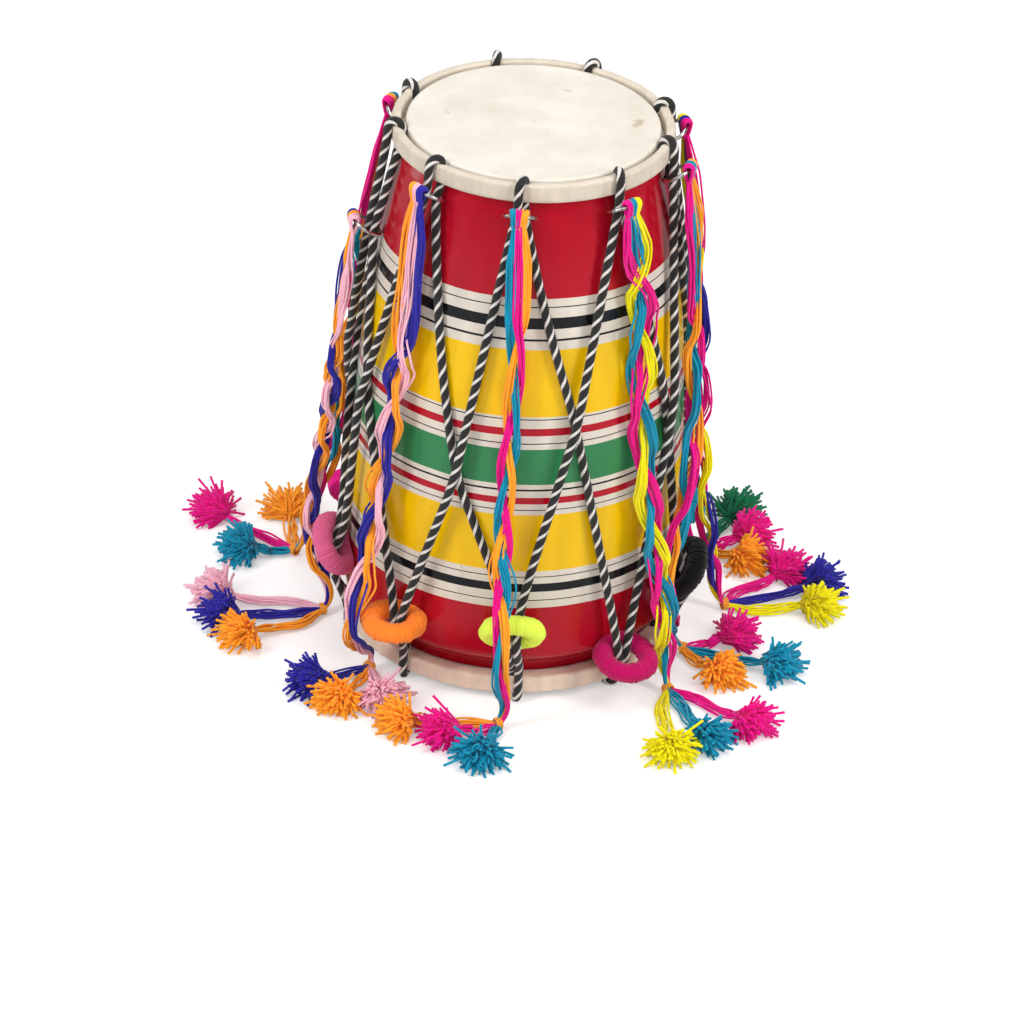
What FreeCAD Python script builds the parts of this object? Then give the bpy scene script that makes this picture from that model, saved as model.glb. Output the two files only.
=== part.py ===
import FreeCAD, Part
import math
import os
import Sketcher

# A laced barrel drum standing on its wide head: a wooden barrel, two skin heads lapped over
# hoops, one lacing rope, steel rings, yarn-wrapped tuning rings and braided yarn tassels.
# Lengths are in mm, +Z is up, the drum's axis is Z, the front is -Y, the floor is z = 0.

SIZES = {
    "rim_radius": 88.6,
    "neck_step": 4.9,
    "waist_radius": 118.2,
    "belly_radius": 124.6,
    "chine_step": 0.4,
    "foot_step": 14.7,
    "foot_rise": 16.8,
    "chine_rise": 15.0,
    "belly_rise": 16.0,
    "lower_wall_rise": 150.0,
    "upper_wall_rise": 178.0,
    "shoulder_rise": 10.0,
    "rim_rise": 12.5,
    "upper_curve_radius": 1170.0,
    "lower_curve_radius": 4050.0,
    "wall_thickness": 8.0,
    "skin_thickness": 1.2,
    "skin_corner_radius": 2.0,
    "face_recess": 1.0,
    "hoop_proud": 0.8,
    "rim_margin": 1.0,
    "foot_margin": 5.7,
    "top_groove_width": 3.6,
    "bottom_groove_width": 3.8,
    "wrapped_hoop_thickness": 6.5,
    "folded_skin_thickness": 3.1,
    "fold_slit": 1.0,
    "rope_radius": 3.0,
    "rope_flat": 0.6,
    "rope_clearance": 0.3,
    "rope_hole_flare": 0.9,
    "rope_hole_flare_depth": 1.2,
    "pass_inset": 0.1,
    "pass_side_offset": 2.0,
    "leg_nip": 0.1,
    "hoop_lead": 3.0,
    "hoop_outer_lead": 1.0,
    "chine_lead": 4.5,
    "chine_drop": 4.0,
    "chine_room": 8.0,
    "chine_stand_off": 1.6,
    "neck_lead": 4.0,
    "low_ring_drop": 20.0,
    "bend_pass": 6.0,
    "bend_hoop": 8.0,
    "bend_chine": 10.0,
    "bend_hook": 12.0,
    "bend_ring": 14.0,
    "bend_neck": 20.0,
    "bend_lead": 30.0,
    "bend_cross": 40.0,
    "bend_rise": 60.0,
    "bend_fall": 120.0,
    "wire_radius": 1.35,
    "wire_gap": 0.4,
    "steel_ring_radius": 11.0,
    "steel_ring_tilt": 31.0,
    "rising_leg_stand_off": 7.7,
    "rising_leg_lift": 4.6,
    "falling_leg_stand_off": 5.3,
    "falling_leg_lift": 3.1,
    "yarn_ring_radius": 16.75,
    "yarn_ring_thickness": 14.5,
    "yarn_ring_gap": 0.4,
    "yarn_ring_inner_remainder": 8.0,
    "knot_radius": 4.5,
    "knot_thickness": 5.6,
    "braid_radius": 5.5,
    "tail_radius": 3.0,
    "tail_lead": 18.0,
    "tie_radius": 7.5,
    "pompom_radius": 14.5,
    "pompom_half_height": 12.0,
}

# what follows from those sizes, from the floor up and then from the axis out
FOLLOWING = {
    "bottom_hoop_bottom_height": "2 * rope_radius - rope_flat + rope_clearance",
    "bight_top_height": "bottom_hoop_bottom_height + rope_clearance + rope_radius",
    "bottom_face_height": "bottom_hoop_bottom_height + face_recess",
    "foot_bottom_height": "bottom_face_height + skin_thickness",
    "foot_top_height": "foot_bottom_height + foot_rise",
    "bottom_hoop_top_height": "foot_top_height - foot_margin",
    "chine_height": "foot_top_height + chine_rise",
    "belly_height": "chine_height + belly_rise",
    "waist_height": "belly_height + lower_wall_rise",
    "neck_height": "waist_height + upper_wall_rise",
    "rim_foot_height": "neck_height + shoulder_rise",
    "rim_top_height": "rim_foot_height + rim_rise",
    "top_face_height": "rim_top_height + skin_thickness",
    "top_hoop_top_height": "top_face_height + hoop_proud",
    "top_hoop_bottom_height": "rim_foot_height + rim_margin",
    "neck_radius": "rim_radius + neck_step",
    "chine_radius": "belly_radius - chine_step",
    "foot_radius": "chine_radius - foot_step",
    "top_hoop_outer_radius": "rim_radius + skin_thickness + top_groove_width + wrapped_hoop_thickness",
    "bottom_hoop_outer_radius": "foot_radius + skin_thickness + bottom_groove_width + wrapped_hoop_thickness",
    "top_inner_pass_radius": "top_hoop_outer_radius - wrapped_hoop_thickness - pass_inset",
    "top_outer_pass_radius": "top_hoop_outer_radius + rope_clearance + rope_radius",
    "bottom_inner_pass_radius": "bottom_hoop_outer_radius - wrapped_hoop_thickness - pass_inset",
    "bottom_outer_pass_radius": "bottom_hoop_outer_radius + rope_clearance + rope_radius",
    "rope_hole_radius": "rope_radius + rope_clearance",
    "leg_side_offset": "rope_radius + rope_clearance",
    "steel_ring_side_offset": "rope_radius + leg_nip",
    "yarn_ring_flat_radius": "max(belly_radius; waist_radius) + yarn_ring_gap",
    "tail_end_height": "2 * tail_radius",
}

doc = FreeCAD.newDocument("dhol")
sheet = doc.addObject("Spreadsheet::Sheet", "sizes")
for row, (alias, number) in enumerate(SIZES.items(), start=1):
    sheet.set(f"A{row}", alias)
    sheet.set(f"B{row}", str(number))
    sheet.setAlias(f"B{row}", alias)
for row, (alias, words) in enumerate(FOLLOWING.items(), start=len(SIZES) + 1):
    sheet.set(f"A{row}", alias)
    sheet.set(f"B{row}", "=" + words)
    sheet.setAlias(f"B{row}", alias)
    doc.recompute()


def size(alias):
    return float(sheet.get(alias))


def worth(words):
    # the value of a sum such as "rim_radius - wall_thickness"
    total = 0.0
    sign = 1.0
    for word in words.split():
        if word == "+":
            sign = 1.0
        elif word == "-":
            sign = -1.0
        else:
            total += sign * size(word)
    return total


def bound(words):
    # the same sum written for a document expression
    return " ".join(word if word in "+-" else "sizes." + word for word in words.split())


def bulge_point(start, end, radius, side):
    # a point half way along the arc of that radius between two corners
    half = (end - start) * 0.5
    across = FreeCAD.Vector(half.y, -half.x, 0).normalize() * side
    rise = radius - math.sqrt(radius ** 2 - half.Length ** 2)
    return start + half + across * rise


def revolved_body(label, corners, arcs=()):
    # corners are pairs of sums for radius and height, arcs give an edge a radius and a side
    arcs = dict(arcs)
    body = doc.addObject("PartDesign::Body", label + "_body")
    sketch = body.newObject("Sketcher::SketchObject", label + "_profile")
    plane = [item for item in body.Origin.OriginFeatures if item.Role == "XZ_Plane"][0]
    sketch.AttachmentSupport = [(plane, "")]
    sketch.MapMode = "FlatFace"
    points = [FreeCAD.Vector(worth(r) if r else 0, worth(z), 0) for r, z in corners]
    ends = []
    for index, start in enumerate(points):
        end = points[(index + 1) % len(points)]
        if index in arcs:
            radius, side = arcs[index]
            middle = bulge_point(start, end, size(radius), side)
            curve = sketch.addGeometry(Part.Arc(start, middle, end), False)
            first = 1 if (sketch.getPoint(curve, 1) - start).Length < 1e-6 else 2
            number = sketch.addConstraint(Sketcher.Constraint("Radius", curve, size(radius)))
            sketch.setExpression(f"Constraints[{number}]", "sizes." + radius)
        else:
            curve = sketch.addGeometry(Part.LineSegment(start, end), False)
            first = 1
        ends.append((curve, first, 3 - first))
    for index, (curve, first, last) in enumerate(ends):
        after, after_first, _ = ends[(index + 1) % len(ends)]
        sketch.addConstraint(Sketcher.Constraint("Coincident", curve, last, after, after_first))
    for (radius, height), (curve, first, _), point in zip(corners, ends, points):
        if radius:
            across = Sketcher.Constraint("DistanceX", -1, 1, curve, first, point.x)
            number = sketch.addConstraint(across)
            sketch.setExpression(f"Constraints[{number}]", bound(radius))
        else:
            sketch.addConstraint(Sketcher.Constraint("PointOnObject", curve, first, -2))
        number = sketch.addConstraint(Sketcher.Constraint("DistanceY", -1, 1, curve, first, point.y))
        sketch.setExpression(f"Constraints[{number}]", bound(height))
    turned = body.newObject("PartDesign::Revolution", label + "_turned")
    turned.Profile = sketch
    turned.ReferenceAxis = (sketch, ["V_Axis"])
    body.Tip = turned
    return body


nodes = {}


def keep(node, shape_object):
    shape_object.Label = node
    nodes[node] = shape_object
    return shape_object


def fixed_shape(name, shape, place=None):
    feature = doc.addObject("Part::Feature", name)
    feature.Shape = shape
    if place is not None:
        feature.Placement = place
    return feature


def joined(name, parts):
    together = doc.addObject("Part::Compound", name)
    together.Links = parts
    return together


# The barrel: a straight rim and foot inside the skins, a long swelling wall between.
barrel_corners = [
    ("rim_radius - wall_thickness", "rim_top_height"),
    ("rim_radius", "rim_top_height"),
    ("rim_radius", "rim_foot_height"),
    ("neck_radius", "neck_height"),
    ("waist_radius", "waist_height"),
    ("belly_radius", "belly_height"),
    ("chine_radius", "chine_height"),
    ("foot_radius", "foot_top_height"),
    ("foot_radius", "foot_bottom_height"),
    ("foot_radius - wall_thickness", "foot_bottom_height"),
    ("foot_radius - wall_thickness", "foot_top_height + fold_slit"),
    ("chine_radius - wall_thickness", "chine_height + fold_slit + fold_slit"),
    ("belly_radius - wall_thickness", "belly_height"),
    ("waist_radius - wall_thickness", "waist_height"),
    ("neck_radius - wall_thickness", "neck_height"),
    ("rim_radius - wall_thickness", "rim_foot_height"),
]
outward, inward = -1, 1
barrel = revolved_body("barrel", barrel_corners, {
    3: ("upper_curve_radius", outward),
    4: ("lower_curve_radius", outward),
    12: ("lower_curve_radius", inward),
    13: ("upper_curve_radius", inward),
})
keep("barrel_shell", barrel)


def arc_reach(height, low, high, radius):
    # radius of the swelling wall at a height, from the same arc as the sketch
    start = FreeCAD.Vector(low[0], low[1], 0)
    half = (FreeCAD.Vector(high[0], high[1], 0) - start) * 0.5
    across = FreeCAD.Vector(-half.y, half.x, 0).normalize()
    centre = start + half + across * math.sqrt(radius ** 2 - half.Length ** 2)
    return centre.x + math.sqrt(radius ** 2 - (height - centre.y) ** 2)


def barrel_radius(height):
    belly = (size("belly_radius"), size("belly_height"))
    waist = (size("waist_radius"), size("waist_height"))
    neck = (size("neck_radius"), size("neck_height"))
    if height > neck[1]:
        share = (height - neck[1]) / (size("rim_foot_height") - neck[1])
        return max(size("rim_radius"), neck[0] + share * (size("rim_radius") - neck[0]))
    if height > waist[1]:
        return arc_reach(height, waist, neck, size("upper_curve_radius"))
    if height > belly[1]:
        return arc_reach(height, belly, waist, size("lower_curve_radius"))
    return belly[0]


# Each head is one skin: a disc over the rim, a wall down it, a web out under the hoop and a
# lap rolled over the hoop. The fold ends just above the web.
fold_inner = "top_hoop_outer_radius - wrapped_hoop_thickness"
top_head_corners = [
    ("", "top_face_height"),
    ("rim_radius + skin_thickness", "top_face_height"),
    ("rim_radius + skin_thickness", "top_hoop_bottom_height + skin_thickness"),
    ("top_hoop_outer_radius - skin_thickness", "top_hoop_bottom_height + skin_thickness"),
    ("top_hoop_outer_radius - skin_thickness", "top_hoop_top_height - skin_thickness"),
    (fold_inner + " + folded_skin_thickness", "top_hoop_top_height - skin_thickness"),
    (fold_inner + " + folded_skin_thickness", "top_hoop_bottom_height + skin_thickness + fold_slit"),
    (fold_inner, "top_hoop_bottom_height + skin_thickness + fold_slit"),
    (fold_inner, "top_hoop_top_height - skin_corner_radius"),
    (fold_inner + " + skin_corner_radius", "top_hoop_top_height"),
    ("top_hoop_outer_radius - skin_corner_radius", "top_hoop_top_height"),
    ("top_hoop_outer_radius", "top_hoop_top_height - skin_corner_radius"),
    ("top_hoop_outer_radius", "top_hoop_bottom_height"),
    ("rim_radius", "top_hoop_bottom_height"),
    ("rim_radius", "top_face_height - skin_thickness"),
    ("", "top_face_height - skin_thickness"),
]
top_skin = revolved_body("top_skin", top_head_corners, {
    8: ("skin_corner_radius", outward),
    10: ("skin_corner_radius", outward),
})
fold_inner = "bottom_hoop_outer_radius - wrapped_hoop_thickness"
bottom_head_corners = [
    ("", "bottom_face_height"),
    ("foot_radius + skin_thickness", "bottom_face_height"),
    ("foot_radius + skin_thickness", "bottom_hoop_top_height - skin_thickness"),
    ("bottom_hoop_outer_radius - skin_thickness", "bottom_hoop_top_height - skin_thickness"),
    ("bottom_hoop_outer_radius - skin_thickness", "bottom_hoop_bottom_height + skin_thickness"),
    (fold_inner + " + folded_skin_thickness", "bottom_hoop_bottom_height + skin_thickness"),
    (fold_inner + " + folded_skin_thickness", "bottom_hoop_top_height - skin_thickness - fold_slit"),
    (fold_inner, "bottom_hoop_top_height - skin_thickness - fold_slit"),
    (fold_inner, "bottom_hoop_bottom_height + skin_corner_radius"),
    (fold_inner + " + skin_corner_radius", "bottom_hoop_bottom_height"),
    ("bottom_hoop_outer_radius - skin_corner_radius", "bottom_hoop_bottom_height"),
    ("bottom_hoop_outer_radius", "bottom_hoop_bottom_height + skin_corner_radius"),
    ("bottom_hoop_outer_radius", "bottom_hoop_top_height"),
    ("foot_radius", "bottom_hoop_top_height"),
    ("foot_radius", "bottom_face_height + skin_thickness"),
    ("", "bottom_face_height + skin_thickness"),
]
bottom_skin = revolved_body("bottom_skin", bottom_head_corners, {
    8: ("skin_corner_radius", inward),
    10: ("skin_corner_radius", inward),
})


def hoop_core(label, outer, low, high):
    inner = f"{outer} - wrapped_hoop_thickness + folded_skin_thickness"
    return revolved_body(label, [
        (inner, low),
        (outer + " - skin_thickness", low),
        (outer + " - skin_thickness", high),
        (inner, high),
    ])


keep("top_hoop", hoop_core(
    "top_core", "top_hoop_outer_radius",
    "top_hoop_bottom_height + skin_thickness", "top_hoop_top_height - skin_thickness"))
keep("bottom_hoop", hoop_core(
    "bottom_core", "bottom_hoop_outer_radius",
    "bottom_hoop_bottom_height + skin_thickness", "bottom_hoop_top_height - skin_thickness"))

# Stations round the drum: azimuth in degrees from the front, growing towards +X.
# top, bottom: where the rope passes the hoops; ring: the yarn ring, with its height as a share
# of the wall from the foot to the waist, its tilt, its turn about the upright, how far inside
# its middle the rope passes as a share of its radius, and how the rope leans outwards and
# drifts sideways there; wire_share: the steel ring's inner side, down from the neck as a share
# of the upper wall; cross: the lacing's crossing between this station and the next one, with
# its height as a share of the wall from the foot to the neck.
STATION_COLUMNS = (
    "top", "bottom", "ring", "ring_height_share", "ring_tilt", "ring_swing", "inset_share",
    "leg_lean_share", "leg_drift_share", "wire_share", "cross", "cross_height_share")
STATION_SHARES = [
    (-3.2, 3.7, 1.6, 0.2414, 50.0, 0.0, 0.0, 0.3, 0.0, 0.0169, 19.3, 0.5774),
    (38.1, 39.4, 37.5, 0.068, -14.0, 0.0, 0.239, 0.1, 0.0, 0.0169, 60.0, 0.5468),
    (75.2, 71.0, 67.0, 0.3, 60.0, 36.0, 0.0, 0.4, 0.3, 0.0169, 95.0, 0.5022),
    (110.6, 119.0, 121.0, 0.1674, 12.0, 0.0, 0.269, 0.1, 0.0, 0.0169, 135.0, 0.5022),
    (156.0, 159.0, 159.0, 0.1398, 0.0, 0.0, 0.269, 0.1, 0.0, 0.0169, 180.0, 0.4883),
    (197.0, 202.0, 202.0, 0.1619, 10.0, 0.0, 0.269, 0.1, 0.0, 0.0169, 221.0, 0.5022),
    (244.0, 237.0, 235.0, 0.1508, 0.0, 0.0, 0.269, 0.1, 0.0, 0.0169, 261.0, 0.5022),
    (280.7, 288.0, 291.0, 0.311, 60.0, -36.0, 0.0, 0.4, -0.3, 0.3354, 297.3, 0.5078),
    (317.9, 322.5, 325.0, 0.195, 0.0, 0.0, 0.269, 0.1, 0.0, 0.0169, 340.5, 0.4354),
]
STATIONS = [dict(zip(STATION_COLUMNS, row)) for row in STATION_SHARES]
foot_top, waist_top, neck_top = size("foot_top_height"), size("waist_height"), size("neck_height")
for place in STATIONS:
    place["ring_height"] = foot_top + place["ring_height_share"] * (waist_top - foot_top)
    place["wire_height"] = neck_top - place["wire_share"] * (neck_top - waist_top)
    place["cross_height"] = foot_top + place["cross_height_share"] * (neck_top - foot_top)
COUNT = len(STATIONS)


def spot(azimuth, radius, aside, height):
    turn = math.radians(azimuth)
    return FreeCAD.Vector(
        radius * math.sin(turn) + aside * math.cos(turn),
        -radius * math.cos(turn) + aside * math.sin(turn),
        height)


def hole_tools(name, azimuths, radius, aside, bottom, top, flare_up):
    # one straight hole per station with a flared mouth where the rope turns over the hoop
    tools = []
    for number, azimuth in enumerate(azimuths, start=1):
        hole = doc.addObject("Part::Cylinder", f"{name}_hole_{number}")
        hole.setExpression("Radius", "sizes.rope_hole_radius")
        hole.setExpression("Height", f"{bound(top)} - ({bound(bottom)})")
        hole.Placement.Base = spot(azimuth, size(radius), aside, worth(bottom))
        mouth = doc.addObject("Part::Cone", f"{name}_mouth_{number}")
        narrow, wide = ("Radius1", "Radius2") if flare_up else ("Radius2", "Radius1")
        mouth.setExpression(narrow, "sizes.rope_hole_radius")
        mouth.setExpression(wide, "sizes.rope_hole_radius + sizes.rope_hole_flare")
        mouth.setExpression("Height", "sizes.rope_hole_flare_depth")
        foot = worth(top) - size("rope_hole_flare_depth") if flare_up else worth(bottom)
        mouth.Placement.Base = spot(azimuth, size(radius), aside, foot)
        tools += [hole, mouth]
    fused = doc.addObject("Part::MultiFuse", name + "_holes")
    fused.Shapes = tools
    return fused


def cut(name, base, tool):
    less = doc.addObject("Part::Cut", name)
    less.Base = base
    less.Tool = tool
    return less


aside = size("pass_side_offset")
top_holes = hole_tools(
    "top", [place["top"] for place in STATIONS], "top_inner_pass_radius", aside,
    "top_hoop_bottom_height - fold_slit", "top_hoop_top_height", True)
keep("top_head", cut("top_head_cut", top_skin, top_holes))
bottom_holes = hole_tools(
    "bottom", [place["bottom"] for place in STATIONS], "bottom_inner_pass_radius", -aside,
    "bottom_hoop_bottom_height", "bottom_hoop_top_height + fold_slit", False)
keep("bottom_head", cut("bottom_head_cut", bottom_skin, bottom_holes))


def tube(points, radius, bend_limits=None, print_as=""):
    # a round tube along straight runs joined by tangent arcs
    edges = []
    bends = []
    start = points[0]
    for index in range(1, len(points) - 1):
        corner = points[index]
        back = points[index - 1] - corner
        onward = points[index + 1] - corner
        half_turn = (math.pi - back.getAngle(onward)) / 2
        if half_turn < 0.0002:
            continue
        shorter = min(back.Length, onward.Length)
        bend = 0.45 * shorter / math.tan(half_turn)
        if bend_limits is not None and bend_limits[index] is not None:
            bend = min(bend_limits[index], 0.5 * shorter / math.tan(half_turn))
        reach = bend * math.tan(half_turn)
        back.normalize()
        onward.normalize()
        middle_way = (back + onward).normalize()
        arc_start = corner + back * reach
        arc_end = corner + onward * reach
        middle = corner + middle_way * (bend / math.cos(half_turn) - bend)
        if (arc_start - start).Length > 0.01:
            edges.append(Part.LineSegment(start, arc_start).toShape())
        else:
            arc_start = start
        edges.append(Part.Arc(arc_start, middle, arc_end).toShape())
        bends.append(round(bend, 1))
        start = arc_end
    if (points[-1] - start).Length > 0.01:
        edges.append(Part.LineSegment(start, points[-1]).toShape())
    wire = Part.Wire(edges)
    along = points[1] - points[0]
    ring = Part.Wire([Part.makeCircle(radius, points[0], along)])
    solid = wire.makePipeShell([ring], True, False)
    wanted = math.pi * radius ** 2 * wire.Length
    if abs(solid.Volume - wanted) > 0.02 * wanted:
        print("tube volume off", print_as, round(solid.Volume), round(wanted))
    if print_as:
        print(print_as, "bend radii", bends)
    return solid


# The lacing: a leg rises outside the bottom hoop at one station, leans to the next station's
# top, turns over the top hoop, drops through the skin and goes down to the station after it.
wire = size("wire_radius")
rope = size("rope_radius")
gap = size("rope_clearance")
tilt = math.radians(size("steel_ring_tilt"))
steel = size("steel_ring_radius")
side = size("leg_side_offset")
ring_side = size("steel_ring_side_offset")
knot = size("knot_radius")


def steel_ring_seat(place):
    # radius and height of the ring's inner side, close outside the barrel
    return barrel_radius(place["wire_height"]) + wire + size("wire_gap"), place["wire_height"]


def yarn_ring_centre(place):
    # the ring's inmost core point keeps one distance from the axis however the ring is turned
    lean, swing = math.radians(place["ring_tilt"]), math.radians(place["ring_swing"])
    outer = size("yarn_ring_flat_radius") + size("yarn_ring_inner_remainder")
    inner_core = outer - size("yarn_ring_thickness") / 2
    depth = math.sqrt(1 - (math.sin(lean) * math.cos(swing)) ** 2)
    return inner_core + size("yarn_ring_radius") * depth, place["ring_height"]


def yarn_ring_passage(place, aside):
    # two points, above and below, of a leg that runs down through the yarn ring's hole
    radius, height = yarn_ring_centre(place)
    radius -= place["inset_share"] * size("yarn_ring_radius")
    half = size("yarn_ring_thickness") * (1 if place["ring_tilt"] > STEEP else FLAT_PASSAGE_SHARE)
    lean, drift = place["leg_lean_share"], place["leg_drift_share"]
    down = half / math.sqrt(1 + lean ** 2 + drift ** 2)
    return [
        spot(place["ring"], radius - lean * down, aside - drift * down, height + down),
        spot(place["ring"], radius + lean * down, aside + drift * down, height - down),
    ]


STEEP = 45.0
FLAT_PASSAGE_SHARE = 0.45


def chine_turn(place, aside, low):
    # where a leg bends in round the chine, unless the ring already sits that low
    level = size("chine_height") - size("chine_drop")
    if low.z < level + size("chine_room"):
        return []
    azimuth = (place["ring"] + 2 * place["bottom"]) / 3
    return [spot(azimuth, size("belly_radius") + rope + size("chine_stand_off"), aside, level)]


def rising_leg(here, there):
    crossing = there["from_left"]
    wire_radius, wire_height = steel_ring_seat(there)
    above = crossing["cross_height"]
    low, high = yarn_ring_passage(here, side)[::-1]
    chine = chine_turn(here, side, low)
    hoop_top = size("bottom_hoop_top_height") + size("hoop_lead")
    points = [
        spot(here["bottom"], size("bottom_outer_pass_radius"), aside, size("bight_top_height")),
        spot(here["bottom"], size("bottom_outer_pass_radius"), aside, hoop_top),
    ] + chine + [
        low,
        high,
        spot(crossing["cross"], barrel_radius(above) + 3 * rope + 4 * gap, 0, above),
        spot(there["top"], wire_radius + size("rising_leg_stand_off"), -ring_side,
             wire_height + size("rising_leg_lift")),
        spot(there["top"], size("top_outer_pass_radius"), -aside,
             size("top_hoop_bottom_height") - size("hoop_outer_lead")),
    ]
    ring_bends = [size("bend_ring")] * (len(chine) + 2)
    return points, [None, size("bend_hoop")] + ring_bends + [
        size("bend_rise"), size("bend_lead"), size("bend_hook")]


def falling_leg(here, there):
    wire_radius, wire_height = steel_ring_seat(here)
    above = here["cross_height"]
    lift = rope + 2 * gap
    neck = size("neck_height")
    points = [
        spot(here["top"], size("top_inner_pass_radius"), aside,
             size("top_hoop_bottom_height") - size("hoop_lead")),
    ]
    limits = [size("bend_pass")]
    if wire_height < neck - size("low_ring_drop"):
        for height in (neck - size("neck_lead"), (neck + wire_height) / 2):
            points.append(spot(here["top"], barrel_radius(height) + lift + 4 * gap, ring_side, height))
            limits.append(size("bend_neck"))
    points.append(spot(here["top"], wire_radius + size("falling_leg_stand_off"), ring_side,
                       wire_height + size("falling_leg_lift")))
    limits.append(size("bend_hook"))
    for share in (0.3, 0.55, 0.78):
        height = wire_height + share * (above - wire_height)
        azimuth = here["top"] + share * (here["cross"] - here["top"])
        points.append(spot(azimuth, barrel_radius(height) + lift, (1 - share) * side, height))
        limits.append(size("bend_fall"))
    points.append(spot(here["cross"], barrel_radius(above) + lift - gap, 0, above))
    limits.append(size("bend_cross"))
    high, low = yarn_ring_passage(there, -side)
    share = 0.33
    height = above + share * (high.z - above)
    ahead = (there["ring"] - here["cross"] + 180) % 360 - 180
    azimuth = here["cross"] + share * ahead
    points.append(spot(azimuth, barrel_radius(height) + lift + gap, 0, height))
    limits.append(size("bend_fall"))
    chine = chine_turn(there, -side, low)
    points += [high, low] + chine
    limits += [size("bend_ring")] * 2 + [size("bend_chine")] * len(chine)
    points += [
        spot(there["bottom"], size("bottom_inner_pass_radius"), -aside,
             size("bottom_hoop_top_height") + size("chine_lead")),
        spot(there["bottom"], size("bottom_inner_pass_radius"), -aside, size("bight_top_height")),
    ]
    return points, limits + [size("bend_pass"), None]


for index, place in enumerate(STATIONS):
    place["from_left"] = STATIONS[index - 1]

rope_solids = []
bight_solids = []
for index, place in enumerate(STATIONS):
    before = STATIONS[index - 1]
    after = STATIONS[(index + 1) % COUNT]
    rising, rising_limits = rising_leg(before, place)
    falling, falling_limits = falling_leg(place, after)
    over = size("top_hoop_top_height") + gap + rope
    outer_top = spot(place["top"], size("top_outer_pass_radius"), -aside, over)
    inner_top = spot(place["top"], size("top_inner_pass_radius"), aside, over)
    turn = (outer_top - inner_top).Length / 2
    points = rising + [outer_top, inner_top] + falling
    limits = rising_limits + [turn, turn] + falling_limits
    rope_solids.append(fixed_shape(f"rope_leg_pair_{index + 1}", tube(points, rope, limits)))
    # the bight under the bottom hoop, worn flat where the drum stands on it
    level = size("bight_top_height")
    under = size("bottom_hoop_bottom_height") - gap - rope
    outer_end = spot(place["bottom"], size("bottom_outer_pass_radius"), aside, level)
    inner_end = spot(place["bottom"], size("bottom_inner_pass_radius"), -aside, level)
    outer_low = spot(place["bottom"], size("bottom_outer_pass_radius"), aside, under)
    inner_low = spot(place["bottom"], size("bottom_inner_pass_radius"), -aside, under)
    turn = (outer_low - inner_low).Length / 2
    loop = tube([outer_end, outer_low, inner_low, inner_end], rope, [None, turn, turn, None])
    reach = size("bottom_hoop_outer_radius") + 6 * rope
    floor_slab = Part.makeBox(2 * reach, 2 * reach, rope, FreeCAD.Vector(-reach, -reach, -rope))
    bight = loop.cut(floor_slab)
    bight_solids.append(fixed_shape(f"bight_{index + 1}", bight))
keep("tension_rope", joined("tension_rope_pieces", rope_solids))
keep("rope_bottom_bights", joined("rope_bottom_bight_pieces", bight_solids))

# Steel rings round both legs just under the top hoop, with a tassel knot on each.
steel_seats = []
for number, place in enumerate(STATIONS, start=1):
    seat_radius, seat_height = steel_ring_seat(place)
    centre_radius = seat_radius + steel * math.cos(tilt)
    centre_height = seat_height + steel * math.sin(tilt)
    ring = doc.addObject("Part::Torus", f"steel_{number}")
    ring.setExpression("Radius1", "sizes.steel_ring_radius")
    ring.setExpression("Radius2", "sizes.wire_radius")
    turn = FreeCAD.Rotation(FreeCAD.Vector(0, 0, 1), place["top"])
    lean = FreeCAD.Rotation(FreeCAD.Vector(1, 0, 0), -size("steel_ring_tilt"))
    ring.Placement = FreeCAD.Placement(spot(place["top"], centre_radius, 0, centre_height), turn * lean)
    keep(f"steel_ring_{number}", ring)
    outermost = (centre_radius + steel * math.cos(tilt), centre_height + steel * math.sin(tilt))
    steel_seats.append(outermost)
    tie = doc.addObject("Part::Torus", f"knot_{number}")
    tie.setExpression("Radius1", "sizes.knot_radius")
    tie.setExpression("Radius2", "sizes.knot_thickness / 2")
    upright = FreeCAD.Rotation(FreeCAD.Vector(0, 1, 0), 90)
    tie.Placement = FreeCAD.Placement(spot(place["top"], outermost[0], 0, outermost[1]), turn * upright)
    keep(f"tassel_knot_{number}", tie)

# Yarn-wrapped tuning rings low on the legs, pressed flat against the barrel inside.
flat = doc.addObject("Part::Cylinder", "yarn_ring_flat")
flat.setExpression("Radius", "sizes.yarn_ring_flat_radius")
flat.setExpression("Height", "sizes.waist_height")
for number, place in enumerate(STATIONS, start=1):
    centre_radius, centre_height = yarn_ring_centre(place)
    whole = doc.addObject("Part::Torus", f"yarn_{number}")
    whole.setExpression("Radius1", "sizes.yarn_ring_radius")
    whole.setExpression("Radius2", "sizes.yarn_ring_thickness / 2")
    turn = FreeCAD.Rotation(FreeCAD.Vector(0, 0, 1), place["ring"] + place["ring_swing"])
    lean = FreeCAD.Rotation(FreeCAD.Vector(1, 0, 0), -place["ring_tilt"])
    whole.Placement = FreeCAD.Placement(spot(place["ring"], centre_radius, 0, centre_height), turn * lean)
    keep(f"tuning_ring_{number}", cut(f"tuning_ring_{number}_pressed", whole, flat))

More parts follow.
